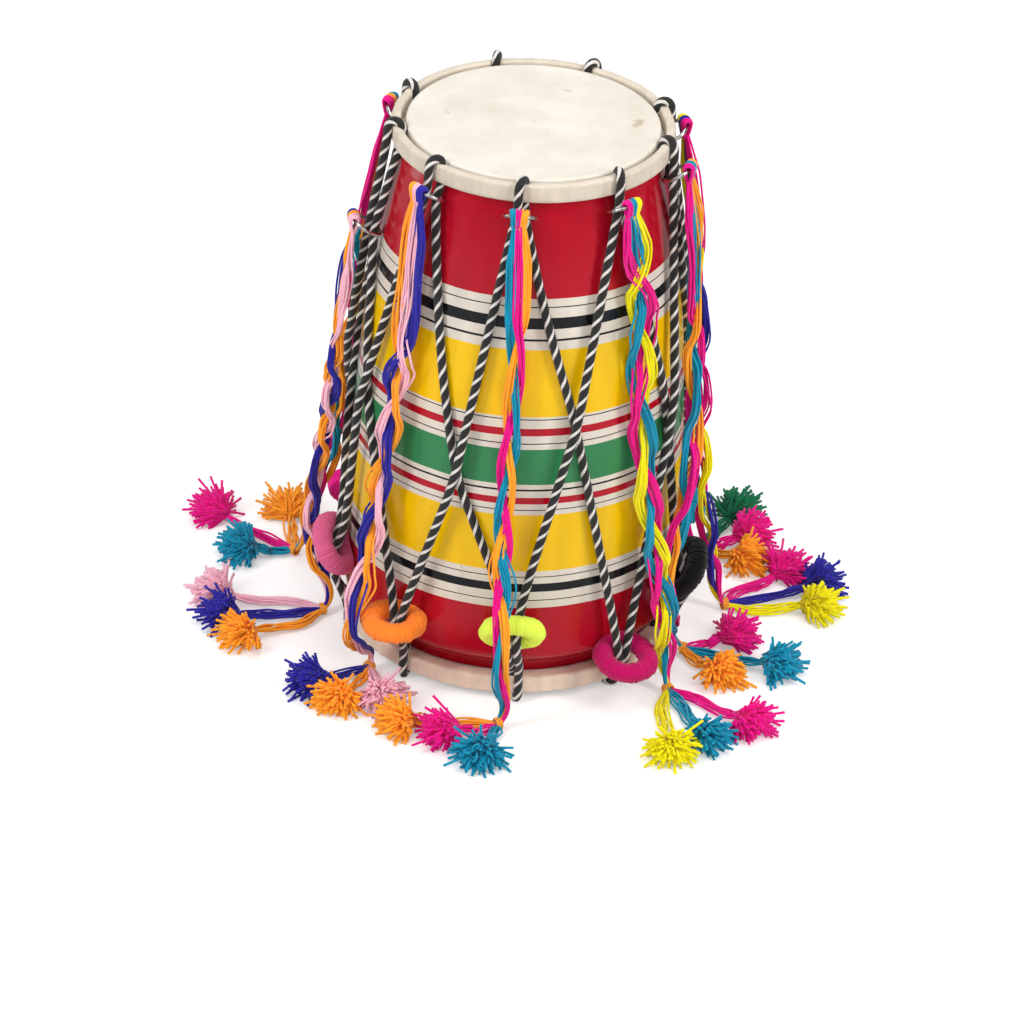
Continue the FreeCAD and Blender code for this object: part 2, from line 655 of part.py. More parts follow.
# Tassels: hand-chosen routes of the braids from below the knots to the ties on the floor.
BRAIDS = [
    [(-4.5, -118.5, 345), (-4, -121, 290), (-4.5, -123.5, 235), (-5.5, -128, 185), (-6, -136, 140),
     (-5, -154, 112), (-4, -167.5, 84), (-4, -169, 48)],
    [(79, -86, 345), (83, -84, 300), (84, -89, 255), (88, -92, 212), (95, -97, 165), (103, -99, 125),
     (110, -100, 88), (116, -101, 50)],
    [(117.5, -33, 340), (120, -35, 300), (122.5, -38, 255), (125, -44, 215), (126, -58, 175),
     (122, -72, 140), (115, -83, 105), (113, -86, 75), (118, -80, 45)],
    [(116, 40, 340), (121, 38, 295), (126, 36, 245), (130, 33, 190), (134, 30, 135), (141, 25, 80),
     (150, 20, 42)],
    [(52, 110, 340), (58, 113, 290), (66, 115, 240), (76, 116, 190), (88, 115, 140), (104, 112, 90),
     (123, 104, 45)],
    [(-35, 117, 340), (-36, 121, 290), (-38, 125, 240), (-41, 129, 190), (-45, 137, 142),
     (-51, 154, 104), (-57, 168, 70), (-59, 171, 42)],
    [(-112, 53, 340), (-118, 54, 295), (-123, 54, 245), (-127, 54, 190), (-131, 55, 135),
     (-138, 57, 85), (-153, 59, 42)],
    [(-128, -24, 292), (-132, -23, 250), (-135, -21, 205), (-139, -15, 160), (-145, -5, 118),
     (-150, 2, 80), (-148, -3, 42)],
    [(-80, -86, 345), (-82, -90, 300), (-86, -94, 255), (-90, -96, 210), (-95, -98, 165),
     (-100, -104, 125), (-107, -111, 90), (-114, -119, 60), (-109, -112, 32)],
]
TIES = [
    (-3, -160, 7.5), (119, -103, 7.5), (130, -47, 7.5), (161, 17, 7.5), (141, 97, 7.5),
    (-59, 168, 7.5), (-163, 62, 7.5), (-137, -19, 7.5), (-99, -94, 7.5),
]
POMPOMS = [
    [(-74, -167), (-42, -178), (-15, -203)],
    [(121, -186), (146, -167), (178, -145)],
    [(159, -81), (168, -30), (200, -67)],
    [(207, 65), (234, 49), (231, 18)],
    [(172, 146), (181, 113), (178, 79)],
    [(-90, 196), (-60, 210), (-29, 199)],
    [(-227, 109), (-171, 117), (-203, 57)],
    [(-218, -8), (-210, -38), (-194, -63)],
    [(-139, -121), (-119, -143), (-88, -137)],
]


def route(points):
    return [FreeCAD.Vector(*point) for point in points]


TAIL_SPREAD = math.radians(50)
tie_solids = []
for index in range(COUNT):
    number = index + 1
    tie_at = FreeCAD.Vector(*TIES[index])
    tie = doc.addObject("Part::Sphere", f"tie_{number}")
    tie.setExpression("Radius", "sizes.tie_radius")
    tie.Placement.Base = tie_at
    tie_solids.append(tie)
    knot_radius, knot_height = steel_seats[index]
    below = knot_height - knot - size("knot_thickness") / 2 - gap
    points = [spot(STATIONS[index]["top"], knot_radius + gap, 0, below)] + route(BRAIDS[index])
    approach = (points[-1] - tie_at).normalize()
    points.append(tie_at + approach * (size("tie_radius") + gap))
    towards = [math.atan2(y - tie_at.y, x - tie_at.x) for x, y in POMPOMS[index]]
    mean = math.atan2(sum(map(math.sin, towards)), sum(map(math.cos, towards)))
    leans = [(angle - mean + math.pi) % (2 * math.pi) - math.pi for angle in towards]
    order = sorted(range(len(leans)), key=lambda item: leans[item])
    pieces = [fixed_shape(f"braid_run_{number}", tube(points, size("braid_radius"), None, f"braid {number}"))]
    pompoms = []
    for which, (x, y) in enumerate(POMPOMS[index], start=1):
        name = f"pompom_{number}_{which}"
        tuft = doc.addObject("Part::Ellipsoid", name)
        tuft.setExpression("Radius1", "sizes.pompom_half_height")
        tuft.setExpression("Radius2", "sizes.pompom_radius")
        tuft.setExpression("Radius3", "sizes.pompom_radius")
        centre = FreeCAD.Vector(x, y, size("pompom_half_height"))
        tuft.Placement.Base = centre
        pompoms.append(tuft)
        spread = mean + (order.index(which - 1) - 1) * TAIL_SPREAD
        leave = FreeCAD.Vector(math.cos(spread), math.sin(spread), 0)
        tie_foot = FreeCAD.Vector(tie_at.x, tie_at.y, size("tail_radius") + gap)
        start = tie_foot + leave * (size("tie_radius") + gap)
        back = (FreeCAD.Vector(start.x, start.y, centre.z) - centre).normalize()
        below = (centre.z - size("tail_end_height") - size("tail_radius")) / centre.z
        end = centre + back * (size("pompom_radius") * math.sqrt(1 - below ** 2))
        end.z = size("tail_end_height")
        lead = min(size("tail_lead"), 0.5 * (end - start).Length)
        tail = tube([start, start + leave * lead, end], size("tail_radius"), None, name)
        pieces.append(fixed_shape(f"tail_{number}_{which}", tail))
    keep(f"braid_{number}", joined(f"braid_pieces_{number}", pieces))
    keep(f"pompoms_{number}", joined(f"pompom_pieces_{number}", pompoms))
keep("tassel_ties", joined("tassel_tie_pieces", tie_solids))

doc.recompute()
for item in doc.Objects:
    if "Invalid" in item.State or "Error" in item.State:
        raise RuntimeError("bad state: " + item.Name)
os.makedirs("parts", exist_ok=True)
for node, shape_object in nodes.items():
    shape = shape_object.Shape
    if shape.isNull() or not shape.isValid():
        raise RuntimeError("bad shape: " + node)
    shape.exportStep(f"parts/{node}.step")
    box = shape.BoundBox
    print(node, "solids", len(shape.Solids), "volume", round(shape.Volume),
          "x", round(box.XMin, 1), round(box.XMax, 1), "y", round(box.YMin, 1), round(box.YMax, 1),
          "z", round(box.ZMin, 1), round(box.ZMax, 1))
print("nodes", len(nodes))
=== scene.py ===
import bpy
import functools
import math
import mathutils
import numpy as np
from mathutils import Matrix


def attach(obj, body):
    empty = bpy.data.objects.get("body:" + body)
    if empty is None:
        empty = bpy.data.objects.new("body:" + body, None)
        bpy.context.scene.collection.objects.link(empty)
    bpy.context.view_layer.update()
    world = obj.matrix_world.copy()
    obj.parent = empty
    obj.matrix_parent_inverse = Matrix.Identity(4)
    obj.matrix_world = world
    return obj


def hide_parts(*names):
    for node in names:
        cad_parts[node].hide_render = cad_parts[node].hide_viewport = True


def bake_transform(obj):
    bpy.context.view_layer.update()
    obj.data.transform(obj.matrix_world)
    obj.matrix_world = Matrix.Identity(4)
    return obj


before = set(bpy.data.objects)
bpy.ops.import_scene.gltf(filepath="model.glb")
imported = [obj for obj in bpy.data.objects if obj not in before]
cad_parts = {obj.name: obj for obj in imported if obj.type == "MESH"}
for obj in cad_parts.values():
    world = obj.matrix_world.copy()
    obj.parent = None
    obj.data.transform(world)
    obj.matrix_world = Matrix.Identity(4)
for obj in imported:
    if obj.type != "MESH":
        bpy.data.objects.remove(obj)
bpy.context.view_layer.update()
print("stage: frame loaded")

tau = 2 * math.pi
mm = 0.001


def hexToLinear(code):
    # sRGB hex to the linear values the shaders take
    values = np.array([int(code[i:i + 2], 16) for i in (1, 3, 5)]) / 255
    linear = np.where(values <= 0.04045, values / 12.92, ((values + 0.055) / 1.055) ** 2.4)
    return (*[float(v) for v in linear], 1.0)


def joinSockets(tree, node, links):
    # links given as socket: (source node, its output)
    for socket, (source, output) in links.items():
        tree.links.new(source.outputs[output], node.inputs[socket])


def addNode(tree, kind, settings={}, links={}):
    # one node with its own settings or socket values, and its links
    node = tree.nodes.new("ShaderNode" + kind)
    for key, value in settings.items():
        if isinstance(key, str) and hasattr(node, key):
            setattr(node, key, value)
        else:
            node.inputs[key].default_value = value
    joinSockets(tree, node, links)
    return node


def newMaterial(name, settings):
    # a material with constants on its shader, what adds a node to it, what joins links to its
    # shader, and the link that gives a node the piece's own place
    material = bpy.data.materials.new(name)
    material.use_nodes = True
    tree = material.node_tree
    shader = tree.nodes["Principled BSDF"]
    for key, value in settings.items():
        shader.inputs[key].default_value = value
    add, join = functools.partial(addNode, tree), functools.partial(joinSockets, tree, shader)
    return material, add, join, {"Vector": (add("TexCoord"), "Object")}


mixed = {"data_type": "RGBA"}
multiplied = {"data_type": "RGBA", "blend_type": "MULTIPLY", 0: 1.0}
mulAdd = {"operation": "MULTIPLY_ADD"}


def makePiece(name, points, faces, materials, body=None, uv=None, stands=(), faceMaterial=None):
    # a smooth mesh from arrays: points (n, 3), faces (m, 4), uv (m, 4, 2)
    mesh = bpy.data.meshes.new(name)
    points = np.asarray(points, float).reshape(-1, 3)
    faces = np.asarray(faces, int)
    mesh.vertices.add(len(points))
    mesh.vertices.foreach_set("co", points.ravel())
    mesh.loops.add(faces.size)
    mesh.loops.foreach_set("vertex_index", faces.ravel())
    mesh.polygons.add(len(faces))
    mesh.polygons.foreach_set("loop_start", np.arange(len(faces)) * faces.shape[1])
    mesh.polygons.foreach_set("loop_total", np.full(len(faces), faces.shape[1]))
    mesh.polygons.foreach_set("use_smooth", np.full(len(faces), True))
    for material in materials:
        mesh.materials.append(material)
    if faceMaterial is not None:
        mesh.polygons.foreach_set("material_index", np.asarray(faceMaterial, int))
    if uv is not None:
        layer = mesh.uv_layers.new(name="UVMap")
        layer.data.foreach_set("uv", np.asarray(uv, float).ravel())
    mesh.update()
    mesh.validate()
    piece = bpy.data.objects.new(name, mesh)
    bpy.context.scene.collection.objects.link(piece)
    if body:
        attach(piece, body)
    if stands:
        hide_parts(*stands)
    return piece


def gridFaces(rows, columns, closeRows, closeColumns):
    # quads of a rows x columns grid of points, joined round where asked
    i = np.arange(rows if closeRows else rows - 1)[:, None]
    j = np.arange(columns if closeColumns else columns - 1)[None, :]
    a = i * columns + j
    b = ((i + 1) % rows) * columns + j
    c = ((i + 1) % rows) * columns + (j + 1) % columns
    d = i * columns + (j + 1) % columns
    faces = np.stack([a, b, c, d], -1).reshape(-1, 4)
    uv = np.stack([
        np.stack(np.broadcast_arrays(i + u * 1.0, j + v * 1.0), -1)
        for u, v in ((0, 0), (1, 0), (1, 1), (0, 1))], -2).reshape(-1, 4, 2)
    return faces, uv


def unit(vectors):
    # each vector at length one
    return vectors / np.maximum(np.linalg.norm(vectors, axis=-1, keepdims=True), 1e-9)


def spot(azimuth, radius, aside, height):
    # azimuth in degrees from the front towards +X, aside along the turn, metres
    turn = np.radians(azimuth)
    return np.array([
        radius * np.sin(turn) + aside * np.cos(turn),
        -radius * np.cos(turn) + aside * np.sin(turn), height])


def torus(frameWays, core, tube, a, b):
    # centre + (core + tube cos b) (reachWay cos a + sideways sin a) + tube sin b axis
    centre, reachWay, sideways, axis = frameWays
    radial = np.cos(a)[..., None] * reachWay + np.sin(a)[..., None] * sideways
    return centre + (core + tube * np.cos(b))[..., None] * radial + (tube * np.sin(b))[..., None] * axis


def fullTurn(steps):
    # even angles once round
    return np.arange(steps) / steps * tau


def routeLine(points, step):
    # even steps along the smooth NURBS spline that has the route's points as control points
    curve = bpy.data.curves.new("route", "CURVE")
    curve.dimensions = "3D"
    spline = curve.splines.new("NURBS")
    spline.points.add(len(points) - 1)
    spline.points.foreach_set("co", np.c_[np.array(points, float), np.ones(len(points))].ravel())
    spline.order_u = 3
    spline.use_endpoint_u = True
    spline.resolution_u = 24
    holder = bpy.data.objects.new("route", curve)
    mesh = bpy.data.meshes.new_from_object(holder)
    line = np.empty(len(mesh.vertices) * 3)
    mesh.vertices.foreach_get("co", line)
    line = line.reshape(-1, 3)
    bpy.data.objects.remove(holder)
    bpy.data.meshes.remove(mesh)
    bpy.data.curves.remove(curve)
    lengths = np.r_[0, np.cumsum(np.linalg.norm(np.diff(line, axis=0), axis=1))]
    even = np.linspace(0, lengths[-1], max(4, int(lengths[-1] / step)))
    return np.stack([np.interp(even, lengths, line[:, k]) for k in range(3)], -1), even


def tubes(paths, references, radius, sides, step):
    # round tubes along several paths at once: the ring at each point is
    # radius * (cos a * across + sin a * out), across and out square to the path.
    # uv: once round, and millimetres along. Both ends are closed
    count, steps = paths.shape[:2]
    along = unit(np.gradient(paths, axis=1))
    out = unit(references - (references * along).sum(-1, keepdims=True) * along)
    across = np.cross(along, out)
    angle = fullTurn(sides)
    reach = np.broadcast_to(radius, (count, steps))[..., None, None]
    ring = np.cos(angle)[:, None] * across[:, :, None] + np.sin(angle)[:, None] * out[:, :, None]
    points = paths[:, :, None] + reach * ring
    faces, uv = gridFaces(steps, sides, False, True)
    uv = np.stack([uv[..., 1] / sides, uv[..., 0] * step * 1000], -1)
    k = np.arange((sides - 2) // 2)
    first = np.stack([0 * k, 2 * k + 3, 2 * k + 2, 2 * k + 1], -1)
    first[:, 1:] %= sides
    faces = np.concatenate([faces, first[:, ::-1], first + (steps - 1) * sides])
    uv = np.concatenate([uv, np.zeros((2 * len(k), 4, 2))])
    offsets = (np.arange(count) * steps * sides)[:, None, None]
    everyFace = (faces[None] + offsets).reshape(-1, 4)
    everyUv = np.broadcast_to(uv[None], (count,) + uv.shape).reshape(-1, 4, 2)
    return points.reshape(-1, 3), everyFace, everyUv


def smoothNoise(count, steps, knots, generator):
    # random values at a few knots, joined by a smooth curve, one row per path
    values = generator.normal(size=(count, knots + 3))
    place = np.linspace(0, knots, steps, endpoint=False)
    cell = place.astype(int)
    part = place - cell
    part = part * part * (3 - 2 * part)
    return values[:, cell] * (1 - part) + values[:, cell + 1] * part


camera = {
    "rise": 31.316, "roll": 3.006, "distance": 3.67947, "aimX": -0.00093, "aimZ": 0.08564,
    "lens": 175.78,
}
rise, roll = math.radians(camera["rise"]), math.radians(camera["roll"])
forward = np.array([0, math.cos(rise), -math.sin(rise)])
upright = np.array([0, math.sin(rise), math.cos(rise)])
sideways = np.array([1.0, 0, 0])
cameraRight = math.cos(roll) * sideways + math.sin(roll) * upright
cameraUp = -math.sin(roll) * sideways + math.cos(roll) * upright
aim = np.array([camera["aimX"], 0, camera["aimZ"]])
place = aim - forward * camera["distance"]
lensData = bpy.data.cameras.new("viewCamera")
lensData.lens = camera["lens"]
lensData.sensor_width = 36
viewCamera = bpy.data.objects.new("viewCamera", lensData)
matrix = np.eye(4)
matrix[:3] = np.stack([cameraRight, cameraUp, -forward, place], 1)
bpy.context.scene.collection.objects.link(viewCamera)
viewCamera.matrix_world = mathutils.Matrix(matrix.tolist())
bpy.context.scene.camera = viewCamera
bpy.context.scene.view_settings.view_transform = "Standard"
print("stage: camera")

lamps = [
    # name, place, aim, width, height, watts
    ("leftBox", (-1.5, -1.1, 1.5), (0, 0, 0.2), 0.5, 1.6, 21),
    ("rightBox", (1.5, -0.9, 1.3), (0, 0, 0.2), 0.35, 1.5, 18),
    ("topBox", (0.1, 0.3, 2.4), (0, 0, 0.1), 1.8, 1.8, 23),
    ("frontFill", (0.2, -2.6, 1.9), (0, 0, 0.2), 1.6, 1.2, 16),
    ("leftCard", (-1.9, 0.62, 0.75), (0, 0, 0.25), 0.55, 1.5, 6),
]
for lampName, spotAt, lookAt, width, height, watts in lamps:
    data = bpy.data.lights.new(lampName, "AREA")
    data.shape = "RECTANGLE"
    data.size, data.size_y = width, height
    data.energy = watts
    lamp = bpy.data.objects.new(lampName, data)
    bpy.context.scene.collection.objects.link(lamp)
    lamp.visible_diffuse = lampName != "leftCard"   # the card only shows as a streak in the gloss
    lamp.location = spotAt
    look = mathutils.Vector(lookAt) - mathutils.Vector(spotAt)
    lamp.rotation_euler = look.to_track_quat("-Z", "Y").to_euler()

# the sky: a plain soft white, brighter where it is seen directly and dimmer where it is mirrored
sky = bpy.data.worlds.new("studioSky")
bpy.context.scene.world = sky
sky.use_nodes = True
skyTree = sky.node_tree
add = functools.partial(addNode, skyTree)
background = skyTree.nodes["Background"]
background.inputs["Color"].default_value = (1, 1, 1, 1)
skyPath = add("LightPath")
seenSky = add("Math", {"operation": "MAXIMUM"},
                  {0: (skyPath, "Is Camera Ray"), 1: (skyPath, "Is Transmission Ray")})
skyLevel = add("MapRange", {"To Min": 0.34, "To Max": 1.0}, {"Value": (seenSky, 0)})
mirrored = add("Math", {**mulAdd, 1: -0.22}, {0: (skyPath, "Is Glossy Ray"), 2: (skyLevel, 0)})
joinSockets(skyTree, background, {"Strength": (mirrored, 0)})

floorMesh = bpy.data.meshes.new("studioFloor")
far = 9   # half the floor, metres
floorMesh.from_pydata([(-far, -far, 0), (far, -far, 0), (far, far, 0), (-far, far, 0)], [], [(0, 1, 2, 3)])
floor = bpy.data.objects.new("studioFloor", floorMesh)
bpy.context.scene.collection.objects.link(floor)
# white paper sweep: the lit paper keeps the drum's shadow, and a little glow where it is seen
# lifts it to white
paper = bpy.data.materials.new("whitePaperSweep")
paper.use_nodes = True
paperTree = paper.node_tree
add = functools.partial(addNode, paperTree)
paperTree.nodes.remove(paperTree.nodes["Principled BSDF"])
paperOut = paperTree.nodes["Material Output"]
paperPath = add("LightPath")
# and the paint mirrors a quieter paper
paperShade = add("MapRange", {"To Min": 0.86, "To Max": 0.5}, {"Value": (paperPath, "Is Glossy Ray")})
paperDiffuse = add("BsdfDiffuse", {}, {"Color": (paperShade, 0)})
paperLift = add("Math", {"operation": "MULTIPLY", 1: 0.29}, {0: (paperPath, "Is Camera Ray")})
paperGlow = add("Emission", {"Color": (1, 1, 1, 1)}, {"Strength": (paperLift, 0)})
paperSum = add("AddShader", {}, {0: (paperDiffuse, 0), 1: (paperGlow, 0)})
joinSockets(paperTree, paperOut, {"Surface": (paperSum, 0)})
floorMesh.materials.append(paper)
print("stage: light and floor")

drum = {
    "rimRadius": 0.0886, "rimTop": 0.4062, "rimFoot": 0.3937,
    "neckRadius": 0.0935, "neckHeight": 0.3837,
    "waistRadius": 0.1182, "waistHeight": 0.2057,
    "bellyRadius": 0.1246, "bellyHeight": 0.0557,
    "chineHeight": 0.0397,
    "footRadius": 0.1095, "footTop": 0.0247, "footBottom": 0.0079,
    "upperCurve": 1.170, "lowerCurve": 4.050, "wall": 0.008,
}


def arcReach(height, low, high, radius):
    # the swelling wall's radius: a circle through two points, bulging outwards
    half = (np.array(high) - np.array(low)) / 2
    across = np.array([-half[1], half[0]]) / np.hypot(*half)
    centre = np.array(low) + half + across * math.sqrt(radius ** 2 - half @ half)
    return centre[0] + np.sqrt(radius ** 2 - (height - centre[1]) ** 2)


def barrelRadius(height):
    d = drum
    height = np.asarray(height, float)
    belly = (d["bellyRadius"], d["bellyHeight"])
    waist = (d["waistRadius"], d["waistHeight"])
    neck = (d["neckRadius"], d["neckHeight"])
    share = (height - neck[1]) / (d["rimFoot"] - neck[1])
    top = np.maximum(d["rimRadius"], neck[0] + share * (d["rimRadius"] - neck[0]))
    upper = arcReach(np.clip(height, waist[1], neck[1]), waist, neck, d["upperCurve"])
    lower = arcReach(np.clip(height, belly[1], waist[1]), belly, waist, d["lowerCurve"])
    return np.where(height > neck[1], top, np.where(height > waist[1], upper, lower))


stations = [
    # top, bottom, ring azimuth; ring height, tilt, swing; the rope's inset, lean and drift in the
    # ring; steel ring's height; crossing azimuth, height
    (-3.2, 3.7, 1.6, 0.0684, 50, 0, 0.0, 0.3, 0.0, 0.3807, 19.3, 0.232),
    (38.1, 39.4, 37.5, 0.0370, -14, 0, 0.004, 0.1, 0.0, 0.3807, 60.0, 0.221),
    (75.2, 71.0, 67.0, 0.0790, 60, 36, 0.0, 0.4, 0.3, 0.3807, 95.0, 0.205),
    (110.6, 119.0, 121.0, 0.0550, 12, 0, 0.0045, 0.1, 0.0, 0.3807, 135.0, 0.205),
    (156.0, 159.0, 159.0, 0.0500, 0, 0, 0.0045, 0.1, 0.0, 0.3807, 180.0, 0.200),
    (197.0, 202.0, 202.0, 0.0540, 10, 0, 0.0045, 0.1, 0.0, 0.3807, 221.0, 0.205),
    (244.0, 237.0, 235.0, 0.0520, 0, 0, 0.0045, 0.1, 0.0, 0.3807, 261.0, 0.205),
    (280.7, 288.0, 291.0, 0.0810, 60, -36, 0.0, 0.4, -0.3, 0.3240, 297.3, 0.207),
    (317.9, 322.5, 325.0, 0.0600, 0, 0, 0.0045, 0.1, 0.0, 0.3807, 340.5, 0.181),
]
stationNames = ("top", "bottom", "ring", "ringHeight", "ringTilt", "ringSwing", "inset", "lean", "drift",
                "wireHeight", "cross", "crossHeight")
stations = [dict(zip(stationNames, row)) for row in stations]

lacing = {
    "rope": 0.003, "gap": 0.0003, "wire": 0.00135, "steelRing": 0.011, "steelTilt": 31,
    "steelSteps": 72, "steelSides": 16,
    "legAside": 0.0033, "ringAside": 0.0031, "passAside": 0.002, "lowTurn": 0.009,
    # how far outside and above the steel ring's seat the legs pass, rising and falling
    "riseOut": 0.0077, "riseUp": 0.0046, "fallOut": 0.0053, "fallUp": 0.0031,
    "topInner": 0.0933, "topOuter": 0.1032, "bottomInner": 0.1144, "bottomOuter": 0.1243,
    "hoopTop": 0.4082, "hoopUnder": 0.3947, "lowHoopTop": 0.0190, "lowHoopUnder": 0.0057,
    "ringCore": 0.01675, "ringTube": 0.00725, "ringFlat": 0.125, "ringRemainder": 0.008,
}


def steelSeat(place):
    return float(barrelRadius(place["wireHeight"])) + lacing["wire"] + 0.0004, place["wireHeight"]


def tiltWays(azimuth, tilt):
    # outwards at the azimuth, the same way leaned up by the tilt, and the axis square to that
    outward, up, lean = spot(azimuth, 1, 0, 0), np.array([0, 0, 1.0]), math.radians(tilt)
    return (outward, outward * math.cos(lean) + up * math.sin(lean),
            up * math.cos(lean) - outward * math.sin(lean))


def ringFrame(place):
    # the wound ring's centre, the way its outer side points, its sideways way and its axis
    c = lacing
    lean, swing = math.radians(place["ringTilt"]), math.radians(place["ringSwing"])
    depth = math.sqrt(1 - (math.sin(lean) * math.cos(swing)) ** 2)
    radius = c["ringFlat"] + c["ringRemainder"] - c["ringTube"] + c["ringCore"] * depth
    _, reachWay, axis = tiltWays(place["ring"] + place["ringSwing"], place["ringTilt"])
    return spot(place["ring"], radius, 0, place["ringHeight"]), reachWay, np.cross(axis, reachWay), axis


def ringPassage(place, aside):
    # two points, above and below, of a leg on its way down through the wound ring
    centre = ringFrame(place)[0]
    radius = math.hypot(centre[0], centre[1]) - place["inset"]
    half = 2 * lacing["ringTube"] * (1 if place["ringTilt"] > 45 else 0.45)
    lean, drift = place["lean"], place["drift"]
    down = half / math.sqrt(1 + lean ** 2 + drift ** 2)
    return [spot(place["ring"], radius - way * lean * down, aside - way * drift * down,
                 place["ringHeight"] + way * down) for way in (1, -1)]


def chineTurn(place, aside, low):
    # the leg bends round the barrel's lowest bulge when it leaves the ring above it
    level = drum["chineHeight"] - 0.004
    if low[2] < level + 0.008:
        return []
    azimuth = (place["ring"] + 2 * place["bottom"]) / 3
    return [spot(azimuth, drum["bellyRadius"] + lacing["rope"] + 0.0016, aside, level)]


def legPairRoute(before, here, after):
    # one leg up from the station before, over the top hoop here, one leg down to the station
    # after, then under the bottom hoop there
    c = lacing
    ringSide, side, aside, neck = c["ringAside"], c["legAside"], c["passAside"], drum["neckHeight"]
    start, top, end = (functools.partial(spot, azimuth)
                       for azimuth in (before["bottom"], here["top"], after["bottom"]))
    high, low = ringPassage(before, side)
    wireRadius, wireHeight = steelSeat(here)
    above = before["crossHeight"]
    crossing = spot(before["cross"], barrelRadius(above) + 3 * c["rope"] + 4 * c["gap"] + 0.0005, 0, above)
    rising = top(wireRadius + c["riseOut"], -ringSide, wireHeight + c["riseUp"])
    points = [start(c["bottomOuter"], aside, c["lowTurn"]),
              start(c["bottomOuter"], aside, c["lowHoopTop"] + 0.003), *chineTurn(before, side, low)]
    # the leg is pulled straight on both sides of the crossing
    points += [low, high, crossing + 0.3 * (high - crossing), crossing, crossing + 0.2 * (rising - crossing),
               rising, top(c["topOuter"], -aside, c["hoopUnder"] - 0.001)]
    over = c["hoopTop"] + c["gap"] + c["rope"]
    points += [top(c["topOuter"], -aside, over), top(c["topInner"], aside, over),
               top(c["topInner"], aside, c["hoopUnder"] - 0.003)]
    lift = c["rope"] + 2 * c["gap"]
    above = here["crossHeight"]
    # where the steel ring hangs low, the leg follows the neck down to it
    if wireHeight < neck - 0.020:
        points += [top(barrelRadius(height) + lift + 4 * c["gap"], ringSide, height)
                   for height in (neck - 0.004, (neck + wireHeight) / 2)]
    points.append(top(wireRadius + c["fallOut"], ringSide, wireHeight + c["fallUp"]))
    for share in (0.3, 0.55, 0.78):
        height = wireHeight + share * (above - wireHeight)
        azimuth = here["top"] + share * (here["cross"] - here["top"])
        points.append(spot(azimuth, barrelRadius(height) + lift, (1 - share) * side, height))
    points.append(spot(here["cross"], barrelRadius(above) + lift - c["gap"], 0, above))
    high, low = ringPassage(after, -side)
    height = above + 0.33 * (high[2] - above)
    ahead = (after["ring"] - here["cross"] + 180) % 360 - 180
    points.append(spot(here["cross"] + 0.33 * ahead, barrelRadius(height) + lift + c["gap"], 0, height))
    under = c["lowHoopUnder"] - c["gap"] - c["rope"]
    return points + [high, low, *chineTurn(after, -side, low),
                     end(c["bottomInner"], -aside, c["lowHoopTop"] + 0.0045),
                     end(c["bottomInner"], -aside, under), end(c["bottomOuter"], aside, under),
                     end(c["bottomOuter"], aside, c["lowTurn"])]


paint = {
    "red": "#b80d24", "yellow": "#f7c400", "green": "#358552", "white": "#e2d8ca", "black": "#16181b",
    # heights of the bands' lower edges above the floor in mm, and the colour above each
    "bands": [
        (0, "red"), (80.7, "white"), (86.1, "black"), (87.0, "white"), (93.9, "black"),
        (100.2, "white"), (105.6, "black"), (106.5, "white"), (110.9, "yellow"), (156.4, "white"),
        (159.6, "black"), (160.5, "white"), (165.5, "red"), (170.5, "white"), (175.8, "black"),
        (176.7, "white"), (180.9, "green"),
        (208.4, "white"), (212.7, "black"), (213.6, "white"), (218.9, "red"), (224.9, "white"),
        (231.1, "black"), (232.0, "white"), (234.2, "yellow"), (284.4, "white"), (291.7, "black"),
        (292.6, "white"), (300.4, "black"), (308.6, "white"), (316.2, "black"), (317.1, "white"),
        (322.6, "red")],
    "split": 190.0,
}


